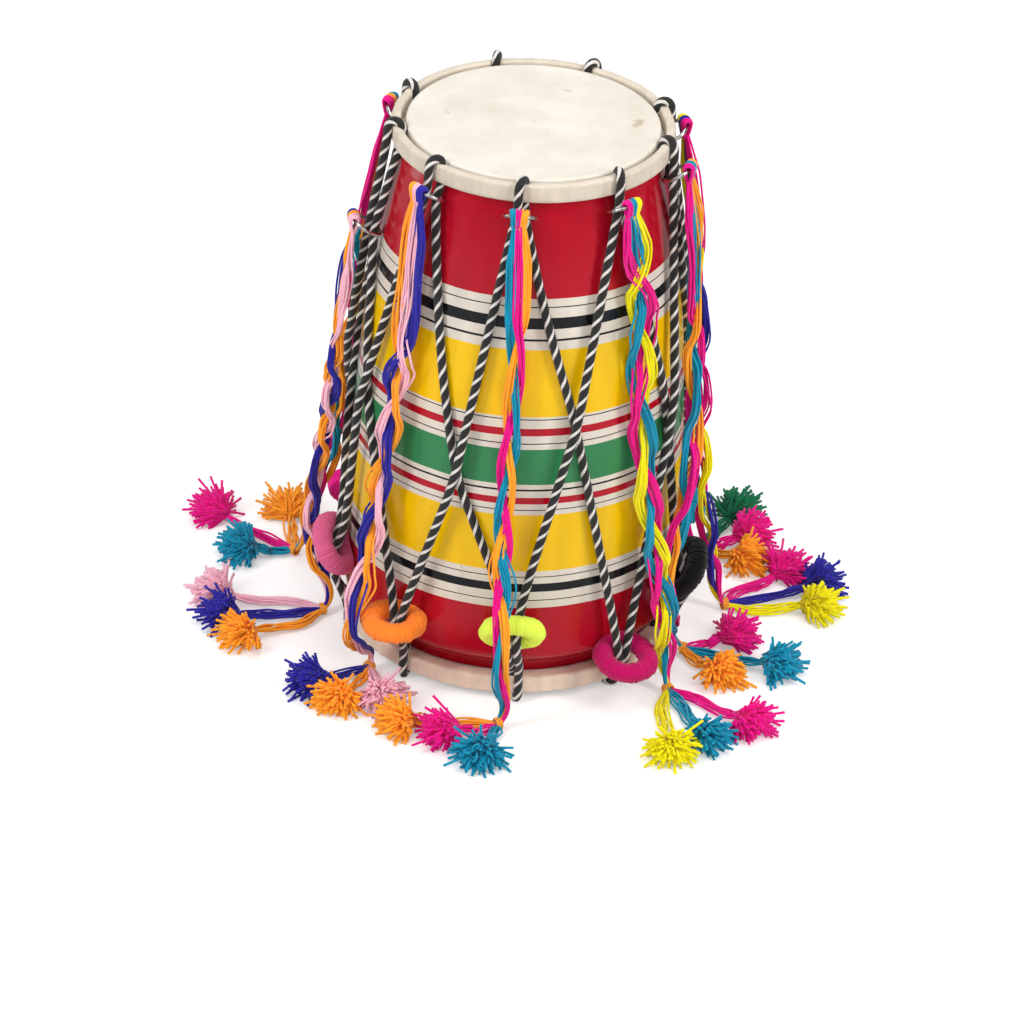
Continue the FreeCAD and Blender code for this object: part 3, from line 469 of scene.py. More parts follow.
def glossyPaint():
    # oil gloss paint brushed on a turned barrel: clean bands, thin hand-drawn lines, a clear
    # hard shine with slow ripples from the wood below
    material, add, join, here = newMaterial("glossPaintOnTurnedWood", {
        "Roughness": 0.2, "Specular IOR Level": 0.28, "Coat Weight": 0.16, "Coat Roughness": 0.05})
    parts = add("SeparateXYZ", {}, here)
    # the lines waver by about a quarter of a millimetre round the barrel
    wavy = add("TexNoise", {"Scale": 28.0, "Detail": 1.0}, here)
    waver = add("Math", {**mulAdd, 1: 0.0008, 2: -0.0004}, {0: (wavy, "Fac")})
    height = add("Math", {"operation": "ADD"}, {0: (parts, "Z"), 1: (waver, 0)})
    # one ramp holds too few bands, so there are two, split inside the green band
    ramps = []
    bands, split = paint["bands"], paint["split"]
    spans = [(0.0, split, [b for b in bands if b[0] < split]),
             (split, 400.0, [(split, "green")] + [b for b in bands if b[0] > split])]
    for low, high, rows in spans:
        share = add("MapRange", {"From Min": low * mm, "From Max": high * mm}, {"Value": (height, 0)})
        ramp = add("ValToRGB", {}, {"Fac": (share, 0)})
        ramp.color_ramp.interpolation = "CONSTANT"
        elements = ramp.color_ramp.elements
        elements[1].position = (rows[1][0] - low) / (high - low)
        for index, (edge, colour) in enumerate(rows):
            if index > 1:
                elements.new((edge - low) / (high - low))
            elements[index].color = hexToLinear(paint[colour])
        ramps.append(ramp)
    upperHalf = add("Math", {"operation": "GREATER_THAN", 1: split * mm}, {0: (height, 0)})
    both = add("Mix", mixed, {0: (upperHalf, 0), 6: (ramps[0], "Color"), 7: (ramps[1], "Color")})
    # painted reflection: slightly darker and lighter streaks running up the barrel stand for the wavy shine
    # of the faceted wood
    stretch = add("Mapping", {"Scale": (70, 70, 7)}, here)
    paintedShineStreaks = add("TexNoise", {"Scale": 1.0, "Detail": 3.0}, {"Vector": (stretch, 0)})
    shade = add("MapRange", {"From Min": 0.25, "From Max": 0.75, "To Min": 0.86, "To Max": 1.08},
                    {0: (paintedShineStreaks, "Fac")})
    tinted = add("Mix", multiplied, {6: (both, 2), 7: (shade, 0)})
    # small dark specks and rubs in the paint, about a millimetre across
    specks = add("TexNoise", {"Scale": 420.0, "Detail": 2.0}, here)
    speckMask = add("MapRange", {"From Min": 0.72, "From Max": 0.78, "To Max": 0.5}, {0: (specks, "Fac")})
    specked = add("Mix", {**mixed, 7: hexToLinear("#3a2a20")}, {0: (speckMask, 0), 6: (tinted, 2)})
    # slow ripples in the shine, longer up the barrel than round it
    ripple = add("Mapping", {"Scale": (55, 55, 5)}, here)
    ripples = add("TexNoise", {"Scale": 1.0, "Detail": 1.5}, {"Vector": (ripple, 0)})
    bump = add("Bump", {"Strength": 0.35, "Distance": 0.003}, {"Height": (ripples, "Fac")})
    join({"Base Color": (specked, 2), "Normal": (bump, 0)})
    return material


def ringProfile(corners, step):
    # points along a closed profile of (radius, height) corners at about even steps
    corners = np.array(corners)
    following = np.roll(corners, -1, axis=0)
    lengths = np.linalg.norm(following - corners, axis=1)
    pieces = [a + (b - a) * np.linspace(0, 1, max(1, int(n / step)), endpoint=False)[:, None]
              for a, b, n in zip(corners, following, lengths)]
    return np.concatenate(pieces)


def lathe(profile, turns, dent=None):
    # radius and height rows turned round the axis: x = r sin t, y = -r cos t
    angle = fullTurn(turns)
    radius = np.broadcast_to(profile[:, 0][:, None], (len(profile), turns)).copy()
    height = np.broadcast_to(profile[:, 1][:, None], (len(profile), turns)).copy()
    if dent is not None:
        radius, height = dent(radius, height, np.degrees(angle)[None, :])
    points = np.stack([radius * np.sin(angle), -radius * np.cos(angle), height], -1)
    return points, gridFaces(len(profile), turns, True, True)[0]


d = drum
outerHeights = np.linspace(d["neckHeight"], d["bellyHeight"], 90)
outerWall = np.stack([barrelRadius(outerHeights - 1e-9), outerHeights], -1)
innerHeights = outerHeights[::-6]
innerWall = np.stack([barrelRadius(innerHeights - 1e-9) - d["wall"], innerHeights], -1)
chineBend = [(0.1247, 0.0470), (0.1244, 0.0420), (0.1236, 0.0388), (0.1218, 0.0366)]
shellProfile = np.concatenate([
    [(0.0866, d["rimTop"]), (d["rimRadius"] - 0.0003, d["rimTop"]), (d["rimRadius"], d["rimTop"] - 0.0003),
     (d["rimRadius"], d["rimFoot"])],
    outerWall, chineBend,
    [(0.1160, 0.0310), (d["footRadius"], d["footTop"]), (d["footRadius"], d["footBottom"]),
     (d["footRadius"] - d["wall"], d["footBottom"]), (d["footRadius"] - d["wall"], 0.0257), (0.1162, 0.0417)],
    innerWall,
    [(0.0806, d["rimFoot"]), (0.0806, d["rimTop"])]])
points, faces = lathe(shellProfile, 288)
barrel = makePiece("barrelWall", points, faces, [glossyPaint()], "drum", stands=("barrel_shell",))
print("stage: barrel")


def driedSkin():
    # goatskin, limed, stretched wet and dried: matt, creamy, faintly mottled, fine grain
    material, add, join, here = newMaterial("driedGoatskin", {
        "Roughness": 0.62, "IOR": 1.46, "Sheen Weight": 0.08, "Sheen Roughness": 0.5})
    mottle = add("TexNoise", {"Scale": 22.0, "Detail": 6.0, "Roughness": 0.62}, here)
    tones = add("ValToRGB", {}, {"Fac": (mottle, "Fac")})
    for element, position, code in zip(tones.color_ramp.elements, (0.30, 0.68), ("#d9d1c2", "#ece5da")):
        element.position, element.color = position, hexToLinear(code)
    # a few tan marks from the hide, 2 to 6 mm long
    marks = add("TexNoise", {"Scale": 62.0, "Detail": 3.0}, here)
    markMask = add("MapRange", {"From Min": 0.70, "From Max": 0.80, "To Max": 0.55}, {0: (marks, "Fac")})
    marked = add("Mix", {**mixed, 7: hexToLinear("#a98a5f")}, {0: (markMask, 0), 6: (tones, "Color")})
    # the laps round the hoops are handled and a little dirty: darker beyond each disc's edge and pinker low
    # down; their vertical folds get painted shade in the hollows
    parts = add("SeparateXYZ", {}, here)
    level = add("VectorMath", {"operation": "MULTIPLY", 1: (1, 1, 0)}, here)
    radius = add("VectorMath", {"operation": "LENGTH"}, {0: (level, 0)})
    below = add("MapRange", {"From Min": 0.1, "From Max": 0.3, "To Min": 0.0205, "To Max": 0.0},
                    {0: (parts, "Z")})
    reach = add("Math", {"operation": "SUBTRACT"}, {0: (radius, "Value"), 1: (below, 0)})
    onLap = add("MapRange", {"From Min": 0.0905, "From Max": 0.0935}, {0: (reach, 0)})
    folds = add("Mapping", {"Scale": (95, 95, 40)}, here)
    foldNoise = add("TexNoise", {"Scale": 1.0, "Detail": 5.0, "Roughness": 0.6}, {"Vector": (folds, 0)})
    low = add("MapRange", {"From Min": 0.1, "From Max": 0.3}, {0: (parts, "Z")})
    lapBase = add("Mix", {**mixed, 6: hexToLinear("#f3dbc6"), 7: hexToLinear("#dacdbb")}, {0: (low, 0)})
    # painted shade: the colour darkens where the fold noise dips, in the hollows of the creases
    paintedFoldShade = add("MapRange", {"From Min": 0.3, "From Max": 0.62, "To Min": 0.86, "To Max": 1.03},
                       {0: (foldNoise, "Fac")})
    lapWithFoldShade = add("Mix", multiplied, {6: (lapBase, 2), 7: (paintedFoldShade, 0)})
    dressed = add("Mix", mixed, {0: (onLap, 0), 6: (marked, 2), 7: (lapWithFoldShade, 2)})
    grain = add("TexNoise", {"Scale": 700.0, "Detail": 3.0}, here)
    creases = add("Math", {"operation": "MULTIPLY"}, {0: (foldNoise, "Fac"), 1: (onLap, 0)})
    relief = add("Math", {**mulAdd, 1: 4.0}, {0: (creases, 0), 2: (grain, "Fac")})
    bump = add("Bump", {"Strength": 0.3, "Distance": 0.0006}, {"Height": (relief, 0)})
    join({"Base Color": (dressed, 2), "Normal": (bump, 0)})
    return material


skinMaterial = driedSkin()
skinLook = {
    "thick": 0.0012, "lapDepth": 0.0065, "fold": 0.0031, "corner": 0.0019, "step": 0.0018, "turns": 540,
    "wrinkle": 0.00011, "lift": 0.00006, "press": 0.0031, "pressHalf": 0.0036, "pressDeep": 0.0033,
    "poleRadius": 0.00002,
}
# shellRadius is the rim the skin is stretched over, lapFar the lap's end away from the barrel and
# lapNear the end at the web
skinHeads = {
    "top_head": {
        "name": "topSkin", "face": 0.4074, "shellRadius": drum["rimRadius"], "webInner": 0.3959,
        "outer": 0.0999, "lapFar": lacing["hoopTop"], "lapNear": lacing["hoopUnder"], "seed": 3,
        "passes": [place["top"] for place in stations], "passRadius": lacing["topInner"],
        "passAside": lacing["passAside"]},
    "bottom_head": {
        "name": "bottomSkin", "face": 0.0067, "shellRadius": drum["footRadius"], "webInner": 0.0178,
        "outer": 0.1210, "lapFar": lacing["lowHoopUnder"], "lapNear": lacing["lowHoopTop"], "seed": 4,
        "passes": [place["bottom"] for place in stations], "passRadius": lacing["bottomInner"],
        "passAside": -lacing["passAside"]},
}


def wrappedHead(node, name, face, shellRadius, webInner, outer, lapFar, lapNear, seed, passes,
                passRadius, passAside):
    # one skin as a closed lathe: disc, wall down the rim, web, then the lap round the hoop with a
    # folded inner wall. Wrinkles: the lap's radius moves by a few sines of the azimuth
    look = skinLook
    skin, corner, pole = look["thick"], look["corner"], look["poleRadius"]
    away = 1 if lapFar > lapNear else -1
    inner = outer - look["lapDepth"]
    fold = inner + look["fold"]
    bends = np.linspace(0, math.pi / 2, 6)
    farInner = np.stack([inner + corner - corner * np.cos(bends),
                         lapFar - away * (corner - corner * np.sin(bends))], -1)
    farOuter = np.stack([outer - corner + corner * np.sin(bends),
                         lapFar - away * (corner - corner * np.cos(bends))], -1)
    corners = np.concatenate([
        [(pole, face), (0.03, face), (0.06, face), (shellRadius - 0.004, face)],
        [(shellRadius - 0.0012, face + away * 0.00035), (shellRadius + 0.0004, face + away * 0.0002),
         (shellRadius + skin, face - away * 0.0010), (shellRadius + skin, webInner + away * 0.0006),
         (shellRadius + skin + 0.0006, webInner)],
        [(outer - skin, webInner), (outer - skin, lapFar - away * skin), (fold, lapFar - away * skin),
         (fold, webInner + away * 0.001), (inner, webInner + away * 0.001)],
        farInner, farOuter,
        [(outer, lapNear + away * skin), (outer - skin, lapNear), (shellRadius, lapNear),
         (shellRadius, face - away * skin), (pole, face - away * skin)]])
    if away < 0:
        corners = corners[::-1]
    profile = ringProfile(corners, look["step"])
    generator = np.random.default_rng(seed)
    waves = [(n, generator.uniform(0, tau), generator.uniform(-90, 90), generator.uniform(0.4, 1.0))
             for n in (17, 29, 43, 61, 83, 111, 149)]

    def dent(radius, height, azimuth):
        turn = np.radians(azimuth)
        wave = sum(gain * np.sin(n * turn + shift + lean * (height - lapFar) * 3)
                   for n, shift, lean, gain in waves)
        onLap = np.clip((radius - inner - 0.0035) / 0.0025, 0, 1)
        radius = radius + onLap * wave * look["wrinkle"]
        height = height + onLap * look["lift"] * wave * away
        # the rope presses the folded inner wall out where it drops through
        inLap = (radius > inner - 0.0005) & (np.abs(height - lapNear) > 0.0009)
        for place in passes:
            lateral = np.radians((azimuth - place + 180) % 360 - 180) * passRadius - passAside
            press = np.exp(-(lateral / look["pressHalf"]) ** 4)
            share = np.clip((inner + look["pressDeep"] - radius) / look["pressDeep"], 0, 1)
            radius = radius + inLap * press * share * look["press"]
        return radius, height

    points, faces = lathe(profile, look["turns"], dent)
    head = makePiece(name, points, faces, [skinMaterial], "drum", stands=(node,))
    return head


for node, head in skinHeads.items():
    wrappedHead(node, **head)

# plain split cane inside the laps, seen only if the skin is cut
caneMaterial, caneAdd, caneJoin, caneHere = newMaterial("splitCane", {"Roughness": 0.55})
caneGrain = caneAdd("TexNoise", {"Scale": 160.0, "Detail": 4.0}, caneHere)
caneTones = caneAdd("ValToRGB", {}, {"Fac": (caneGrain, "Fac")})
for element, code in zip(caneTones.color_ramp.elements, ("#8d6a3e", "#c79f68")):
    element.color = hexToLinear(code)
caneJoin({"Base Color": (caneTones, "Color")})
for hoopName in ("top_hoop", "bottom_hoop"):
    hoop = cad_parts[hoopName]
    hoop.data.materials.clear()
    hoop.data.materials.append(caneMaterial)
print("stage: skins and hoops")

ropeLook = {"radius": 0.00315, "pitch": 0.0240, "step": 0.0020, "sides": 24, "relief": 0.07}


def cottonRope():
    # laid cotton rope of six strands, four black and two white, with a fuzzy matt surface
    material, add, join, here = newMaterial("twistedCottonRope", {
        "Roughness": 0.88, "Sheen Weight": 0.15, "Sheen Roughness": 0.6})
    laid = add("UVMap", {"uv_map": "UVMap"})
    parts = add("SeparateXYZ", {}, {0: (laid, "UV")})
    # u runs once round, v counts pitches along; a white strand follows each two black ones
    once = add("Math", {"operation": "ADD"}, {0: (parts, "X"), 1: (parts, "Y")})
    twice = add("Math", {"operation": "MULTIPLY", 1: 2.0}, {0: (once, 0)})
    strand = add("Math", {"operation": "FRACT"}, {0: (twice, 0)})
    fray = add("TexNoise", {"Scale": 900.0, "Detail": 2.0}, here)
    frayed = add("Math", {**mulAdd, 1: 0.10, 2: -0.05}, {0: (fray, "Fac")})
    edge = add("Math", {"operation": "ADD"}, {0: (strand, 0), 1: (frayed, 0)})
    white = add("MapRange", {"From Min": 0.715, "From Max": 0.735}, {0: (edge, 0)})
    # each strand shows its own fine yarns, laid the other way at about 0.8 mm; on the white strands the yarn
    # wave is painted shade in the grooves between them
    yarnAcross = add("Math", {"operation": "MULTIPLY", 1: 9.0}, {0: (parts, "X")})
    yarnAlong = add("Math", {**mulAdd, 1: -17.0}, {0: (parts, "Y"), 2: (yarnAcross, 0)})
    yarnTurn = add("Math", {"operation": "MULTIPLY", 1: tau}, {0: (yarnAlong, 0)})
    yarnWave = add("Math", {"operation": "SINE"}, {0: (yarnTurn, 0)})
    yarnShade = add("MapRange", {"From Min": -1, "From Max": 1, "To Min": 0.72}, {0: (yarnWave, 0)})
    black = add("Mix", {**mixed, 6: hexToLinear("#0b0b0b"), 7: hexToLinear("#1d1c1c")}, {0: (fray, "Fac")})
    pale = add("Mix", {**multiplied, 6: hexToLinear("#efe9e2")}, {7: (yarnShade, 0)})
    colour = add("Mix", mixed, {0: (white, 0), 6: (black, 2), 7: (pale, 2)})
    bump = add("Bump", {"Strength": 0.35, "Distance": 0.0006}, {"Height": (yarnWave, 0)})
    join({"Base Color": (colour, 2), "Normal": (bump, 0)})
    return material


pathOrder = [(2 * k) % 9 for k in range(9)]
ropeLines = []
for index in pathOrder:
    before, here, after = stations[index - 1], stations[index], stations[(index + 1) % 9]
    line, _ = routeLine(legPairRoute(before, here, after), ropeLook["step"])
    ropeLines.append(line)
ropeLine = np.concatenate(ropeLines)
keep = np.r_[True, np.linalg.norm(np.diff(ropeLine, axis=0), axis=1) > 0.0004]
ropeLine = ropeLine[keep]
alongRope = np.r_[0, np.cumsum(np.linalg.norm(np.diff(ropeLine, axis=0), axis=1))]
# the whole rope is one closed loop: the pitch is stretched a little so that the lay meets itself
pitches = alongRope / alongRope[-1] * round(alongRope[-1] / ropeLook["pitch"])
horizontal = ropeLine * [1, 1, 0]
lateral = unit(np.cross([0, 0, 1.0], horizontal))
sides = ropeLook["sides"]
angle = fullTurn(sides)
along = unit(np.gradient(ropeLine, axis=0))
out = unit(lateral - (lateral * along).sum(-1, keepdims=True) * along)
across = np.cross(along, out)
# six strands: the radius rises to each strand's crown and falls to the grooves between
lobe = np.abs(np.sin(3 * (angle[None, :] + tau * pitches[:, None])))
reach = ropeLook["radius"] * (1 - ropeLook["relief"] + ropeLook["relief"] * lobe ** 0.7 * 1.4)
ropePoints = ropeLine[:, None] + reach[..., None] * (
    np.cos(angle)[:, None] * across[:, None] + np.sin(angle)[:, None] * out[:, None])
ropePoints[..., 2] = np.maximum(ropePoints[..., 2], 0.0)
faces, uv = gridFaces(len(ropeLine), sides, False, True)
uv = np.stack([uv[..., 1] / sides, np.interp(uv[..., 0], np.arange(len(pitches)), pitches)], -1)
rope = makePiece("lacingRope", ropePoints, faces, [cottonRope()], "drum", uv=uv,
                 stands=("tension_rope", "rope_bottom_bights"))
print("stage: rope", round(alongRope[-1], 3), "m", len(faces) * 2, "triangles")

yarnColours = {
    "magenta": "#ea068a", "teal": "#0790b2", "yellow": "#f2e600", "orange": "#ffa428",
    "blue": "#2a249c", "green": "#04714a", "pink": "#f6bccd", "black": "#0d0c0d",
    "tie": "#f0a03a", "wine": "#bb045c", "neon": "#e4fb55", "rose": "#d8608c", "coral": "#fb8428",
}


def woolYarn(name, code):
    # soft two-ply acrylic wool: matt and fuzzy, with painted shade between the plies and a little painted
    # light lifting it over its dye
    material, add, join, here = newMaterial(name, {
        "Roughness": 0.9, "Sheen Weight": 0.2, "Sheen Roughness": 0.5, "Specular IOR Level": 0.12})
    laid = add("UVMap", {"uv_map": "UVMap"})
    parts = add("SeparateXYZ", {}, {0: (laid, "UV")})
    # two plies, one turn in 6 mm
    turns = add("Math", {**mulAdd, 1: 1 / 6.0}, {0: (parts, "Y"), 2: (parts, "X")})
    double = add("Math", {"operation": "MULTIPLY", 1: 2 * tau}, {0: (turns, 0)})
    ply = add("Math", {"operation": "SINE"}, {0: (double, 0)})
    fuzz = add("TexNoise", {"Scale": 1500.0, "Detail": 2.0}, here)
    drift = add("TexNoise", {"Scale": 60.0, "Detail": 2.0}, here)
    depth = add("Math", {**mulAdd, 1: 0.10}, {0: (ply, 0), 2: (fuzz, 0)})
    total = add("Math", {**mulAdd, 1: 0.35}, {0: (drift, 0), 2: (depth, 0)})
    # painted shade and light: the ply sine darkens the colour between the plies and the range up to 1.16
    # lifts it over the dye against the shade among the yarns; drift and fuzz vary the tone at random
    shade = add("MapRange", {"From Min": 0.4, "From Max": 1.0, "To Min": 0.94, "To Max": 1.16},
                    {0: (total, 0)})
    tinted = add("Mix", {**multiplied, 6: hexToLinear(code)}, {7: (shade, 0)})
    bump = add("Bump", {"Strength": 0.5, "Distance": 0.0004}, {"Height": (depth, 0)})
    join({"Base Color": (tinted, 2), "Normal": (bump, 0)})
    return material


yarnMaterials = {name: woolYarn(name + "WoolYarn", code) for name, code in yarnColours.items()}

tuningRing = {"turns": 76, "perTurn": 6, "round": 36, "ridge": 0.06, "uneven": 0.00028, "warp": 0.0002,
              "aboveFloor": 0.0003, "uvRound": 46,
              "colours": ["neon", "wine", "black", "teal", "orange", "blue", "magenta", "rose", "coral"]}

for index, place in enumerate(stations):
    # ring: a torus whose tube radius swells on each wrap of yarn,
    # r = tube * (1 - ridge + ridge * |sin(turns * a / 2)|), pressed flat inside
    r = tuningRing
    generator = np.random.default_rng(100 + index)
    a = fullTurn(r["turns"] * r["perTurn"])[:, None]
    b = fullTurn(r["round"])[None]
    slow = 0.8 * np.sin(3 * a + index) + 0.5 * np.sin(7 * a + 2 * index)
    phase = r["turns"] * a / tau + slow * 0.4 + 0.35 * np.sin(b + index)
    wrapNumber = np.floor(phase).astype(int) % r["turns"]
    heights = generator.normal(size=r["turns"]) * r["uneven"]
    ridge = np.abs(np.sin(math.pi * phase)) ** 0.6
    tube = lacing["ringTube"] * (1 - r["ridge"] + r["ridge"] * ridge) + heights[wrapNumber] * ridge
    tube = tube + r["warp"] * np.sin(2 * a + 3 * b + index)
    points = torus(ringFrame(place), lacing["ringCore"], tube, a, b)
    flat = np.linalg.norm(points[..., :2], axis=-1)
    push = np.maximum(1, lacing["ringFlat"] / flat)
    points[..., :2] *= push[..., None]
    points[..., 2] = np.maximum(points[..., 2], r["aboveFloor"])
    faces, uv = gridFaces(len(a), r["round"], True, True)
    uv = np.stack([uv[..., 0] / r["perTurn"], uv[..., 1] / r["round"] * r["uvRound"]], -1)
    ring = makePiece(f"tuningRing{index + 1}", points, faces[:, ::-1], [yarnMaterials[r["colours"][index]]],
                     f"tuning_loop_{index + 1}", uv=uv[:, ::-1], stands=(f"tuning_ring_{index + 1}",))
print("stage: tuning rings")


def drawnSteel():
    # bright drawn steel wire, nickel plated: a clean mirror with faint wear
    material, add, join, here = newMaterial("nickelledSteelWire", {
        "Metallic": 1.0, "Base Color": hexToLinear("#c9c8c4")})
    wear = add("TexNoise", {"Scale": 700.0, "Detail": 3.0}, here)
    rough = add("MapRange", {"To Min": 0.12, "To Max": 0.34}, {0: (wear, "Fac")})
    bump = add("Bump", {"Strength": 0.08, "Distance": 0.0002}, {"Height": (wear, "Fac")})
    join({"Roughness": (rough, 0), "Normal": (bump, 0)})
    return material


steelMaterial = drawnSteel()
knotSpots = []
for index, place in enumerate(stations):
    c = lacing
    seatRadius, seatHeight = steelSeat(place)
    outward, reachWay, axis = tiltWays(place["top"], c["steelTilt"])
    sideways = np.array([-outward[1], outward[0], 0])
    centre = outward * seatRadius + np.array([0, 0, seatHeight]) + c["steelRing"] * reachWay
    points = torus((centre, reachWay, sideways, axis), c["steelRing"], c["wire"],
                   fullTurn(c["steelSteps"])[:, None], fullTurn(c["steelSides"])[None])
    faces, _ = gridFaces(c["steelSteps"], c["steelSides"], True, True)
    ring = makePiece(f"steelRing{index + 1}", points, faces[:, ::-1], [steelMaterial],
                     f"steel_eye_{index + 1}", stands=(f"steel_ring_{index + 1}",))
    knotSpots.append((centre + c["steelRing"] * reachWay, outward, sideways))
print("stage: steel rings")

# routes of the braids on the way to the floor in mm, below the knot's own point
tassels = [
    # yarns, where the tie lies, the braid's route, pompoms with their places
    (["teal", "magenta", "orange"], (-3, -160),
     [(-4.5, -118.5, 345), (-4, -121, 290), (-4.5, -123.5, 235), (-5.5, -128, 185), (-6, -136, 140),
      (-5, -154, 112), (-4, -167.5, 84), (-4, -169, 48)],
     [("orange", -74, -167), ("magenta", -42, -178), ("teal", -15, -203)]),
    (["magenta", "teal", "yellow"], (119, -103),
     [(79, -86, 345), (83, -84, 300), (84, -89, 255), (88, -92, 212), (95, -97, 165), (103, -99, 125),
      (110, -100, 88), (116, -101, 50)],
     [("yellow", 121, -186), ("teal", 146, -167), ("magenta", 178, -145)]),
    (["magenta", "teal", "orange"], (130, -47),
     [(117.5, -33, 340), (120, -35, 300), (122.5, -38, 255), (125, -44, 215), (126, -58, 175),
      (122, -72, 140), (115, -83, 105), (113, -86, 75), (118, -80, 45)],
     [("orange", 159, -81), ("magenta", 168, -30), ("teal", 200, -67)]),
    (["magenta", "blue", "yellow"], (161, 17),
     [(116, 40, 340), (121, 38, 295), (126, 36, 245), (130, 33, 190), (134, 30, 135), (141, 25, 80),
      (150, 20, 42)],
     [("magenta", 207, 65), ("blue", 234, 49), ("yellow", 231, 18)]),
    (["green", "magenta", "orange"], (141, 97),
     [(52, 110, 340), (58, 113, 290), (66, 115, 240), (76, 116, 190), (88, 115, 140), (104, 112, 90),
      (123, 104, 45)],
     [("green", 172, 146), ("magenta", 181, 113), ("orange", 178, 79)]),
    (["yellow", "magenta", "teal"], (-59, 168),
     [(-35, 117, 340), (-36, 121, 290), (-38, 125, 240), (-41, 129, 190), (-45, 137, 142), (-51, 154, 104),
      (-57, 168, 70), (-59, 171, 42)],
     [("yellow", -90, 196), ("magenta", -60, 210), ("teal", -29, 199)]),
    (["teal", "orange", "magenta"], (-163, 62),
     [(-112, 53, 340), (-118, 54, 295), (-123, 54, 245), (-127, 54, 190), (-131, 55, 135), (-138, 57, 85),
      (-153, 59, 42)],
     [("magenta", -227, 109), ("orange", -171, 117), ("teal", -203, 57)]),
    (["blue", "orange", "pink"], (-137, -19),
     [(-128, -24, 292), (-132, -23, 250), (-135, -21, 205), (-139, -15, 160), (-145, -5, 118),
      (-150, 2, 80), (-148, -3, 42)],
     [("pink", -218, -8), ("blue", -210, -38), ("orange", -194, -63)]),
    (["orange", "pink", "blue"], (-99, -94),
     [(-80, -86, 345), (-82, -90, 300), (-86, -94, 255), (-90, -96, 210), (-95, -98, 165),
      (-100, -104, 125), (-107, -111, 90), (-114, -119, 60), (-109, -112, 32)],
     [("blue", -139, -121), ("orange", -119, -143), ("pink", -88, -137)]),
]
tassels = [dict(zip(("colours", "tie", "route", "pompoms"), row)) for row in tassels]
tieLook = {"winds": 4.5, "pitch": 0.0010, "radius": 0.0040, "yarn": 0.00062, "steps": 110, "sides": 8}
knotLook = {"perStrand": 5, "strandGap": 0.0040, "yarnGap": 0.0010, "reach": 0.0040, "vary": 0.0007,
            "wave": 0.0004, "below": 2.5, "yarn": 0.00085, "steps": 44, "sides": 8}
yarnLook = {
    "perStrand": 11, "yarn": 0.00078, "sides": 6, "step": 0.0034, "pitch": 0.150, "swing": 0.0050,
    "depth": 0.0027, "ribbon": 0.0036, "layer": 0.0008, "wander": 0.0010, "stray": 0.0048, "apart": 0.0056,
    "tailYarns": 10, "tailBundle": 0.0036, "tipYarn": 0.00088, "tufts": 310, "tuftReach": 0.0238,
    "tuftSteps": 4,
    # how far down each tassel's strands hang side by side before the plait starts, and how wide
    "loose": [0.060, 0.030, 0.085, 0.070, 0.050, 0.050, 0.080, 0.075, 0.095],
    "spread": [0.95, 1.42, 1.5, 1.5, 1.2, 1.1, 1.2, 1.35, 1.3],
}


def joinPieces(parts):
    # several (points, faces, uv, material number) sets as one
    start, points, faces, uvs, numbers = 0, [], [], [], []
    for somePoints, someFaces, someUv, number in parts:
        points.append(somePoints)
        faces.append(someFaces + start)
        uvs.append(someUv)
        numbers.append(np.full(len(someFaces), number))
        start += len(somePoints)
    return np.concatenate(points), np.concatenate(faces), np.concatenate(uvs), np.concatenate(numbers)


def yarnBundle(line, sideWay, offsetAcross, offsetDeep, floorLimit):
    # yarns beside a centre line: point = line + across * x + deep * y
    along = unit(np.gradient(line, axis=0))
    across = unit(sideWay - (along * sideWay).sum(-1, keepdims=True) * along)
    deep = np.cross(along, across)
    paths = line[None] + offsetAcross[..., None] * across[None] + offsetDeep[..., None] * deep[None]
    paths[..., 2] = np.maximum(paths[..., 2], floorLimit)
    return paths


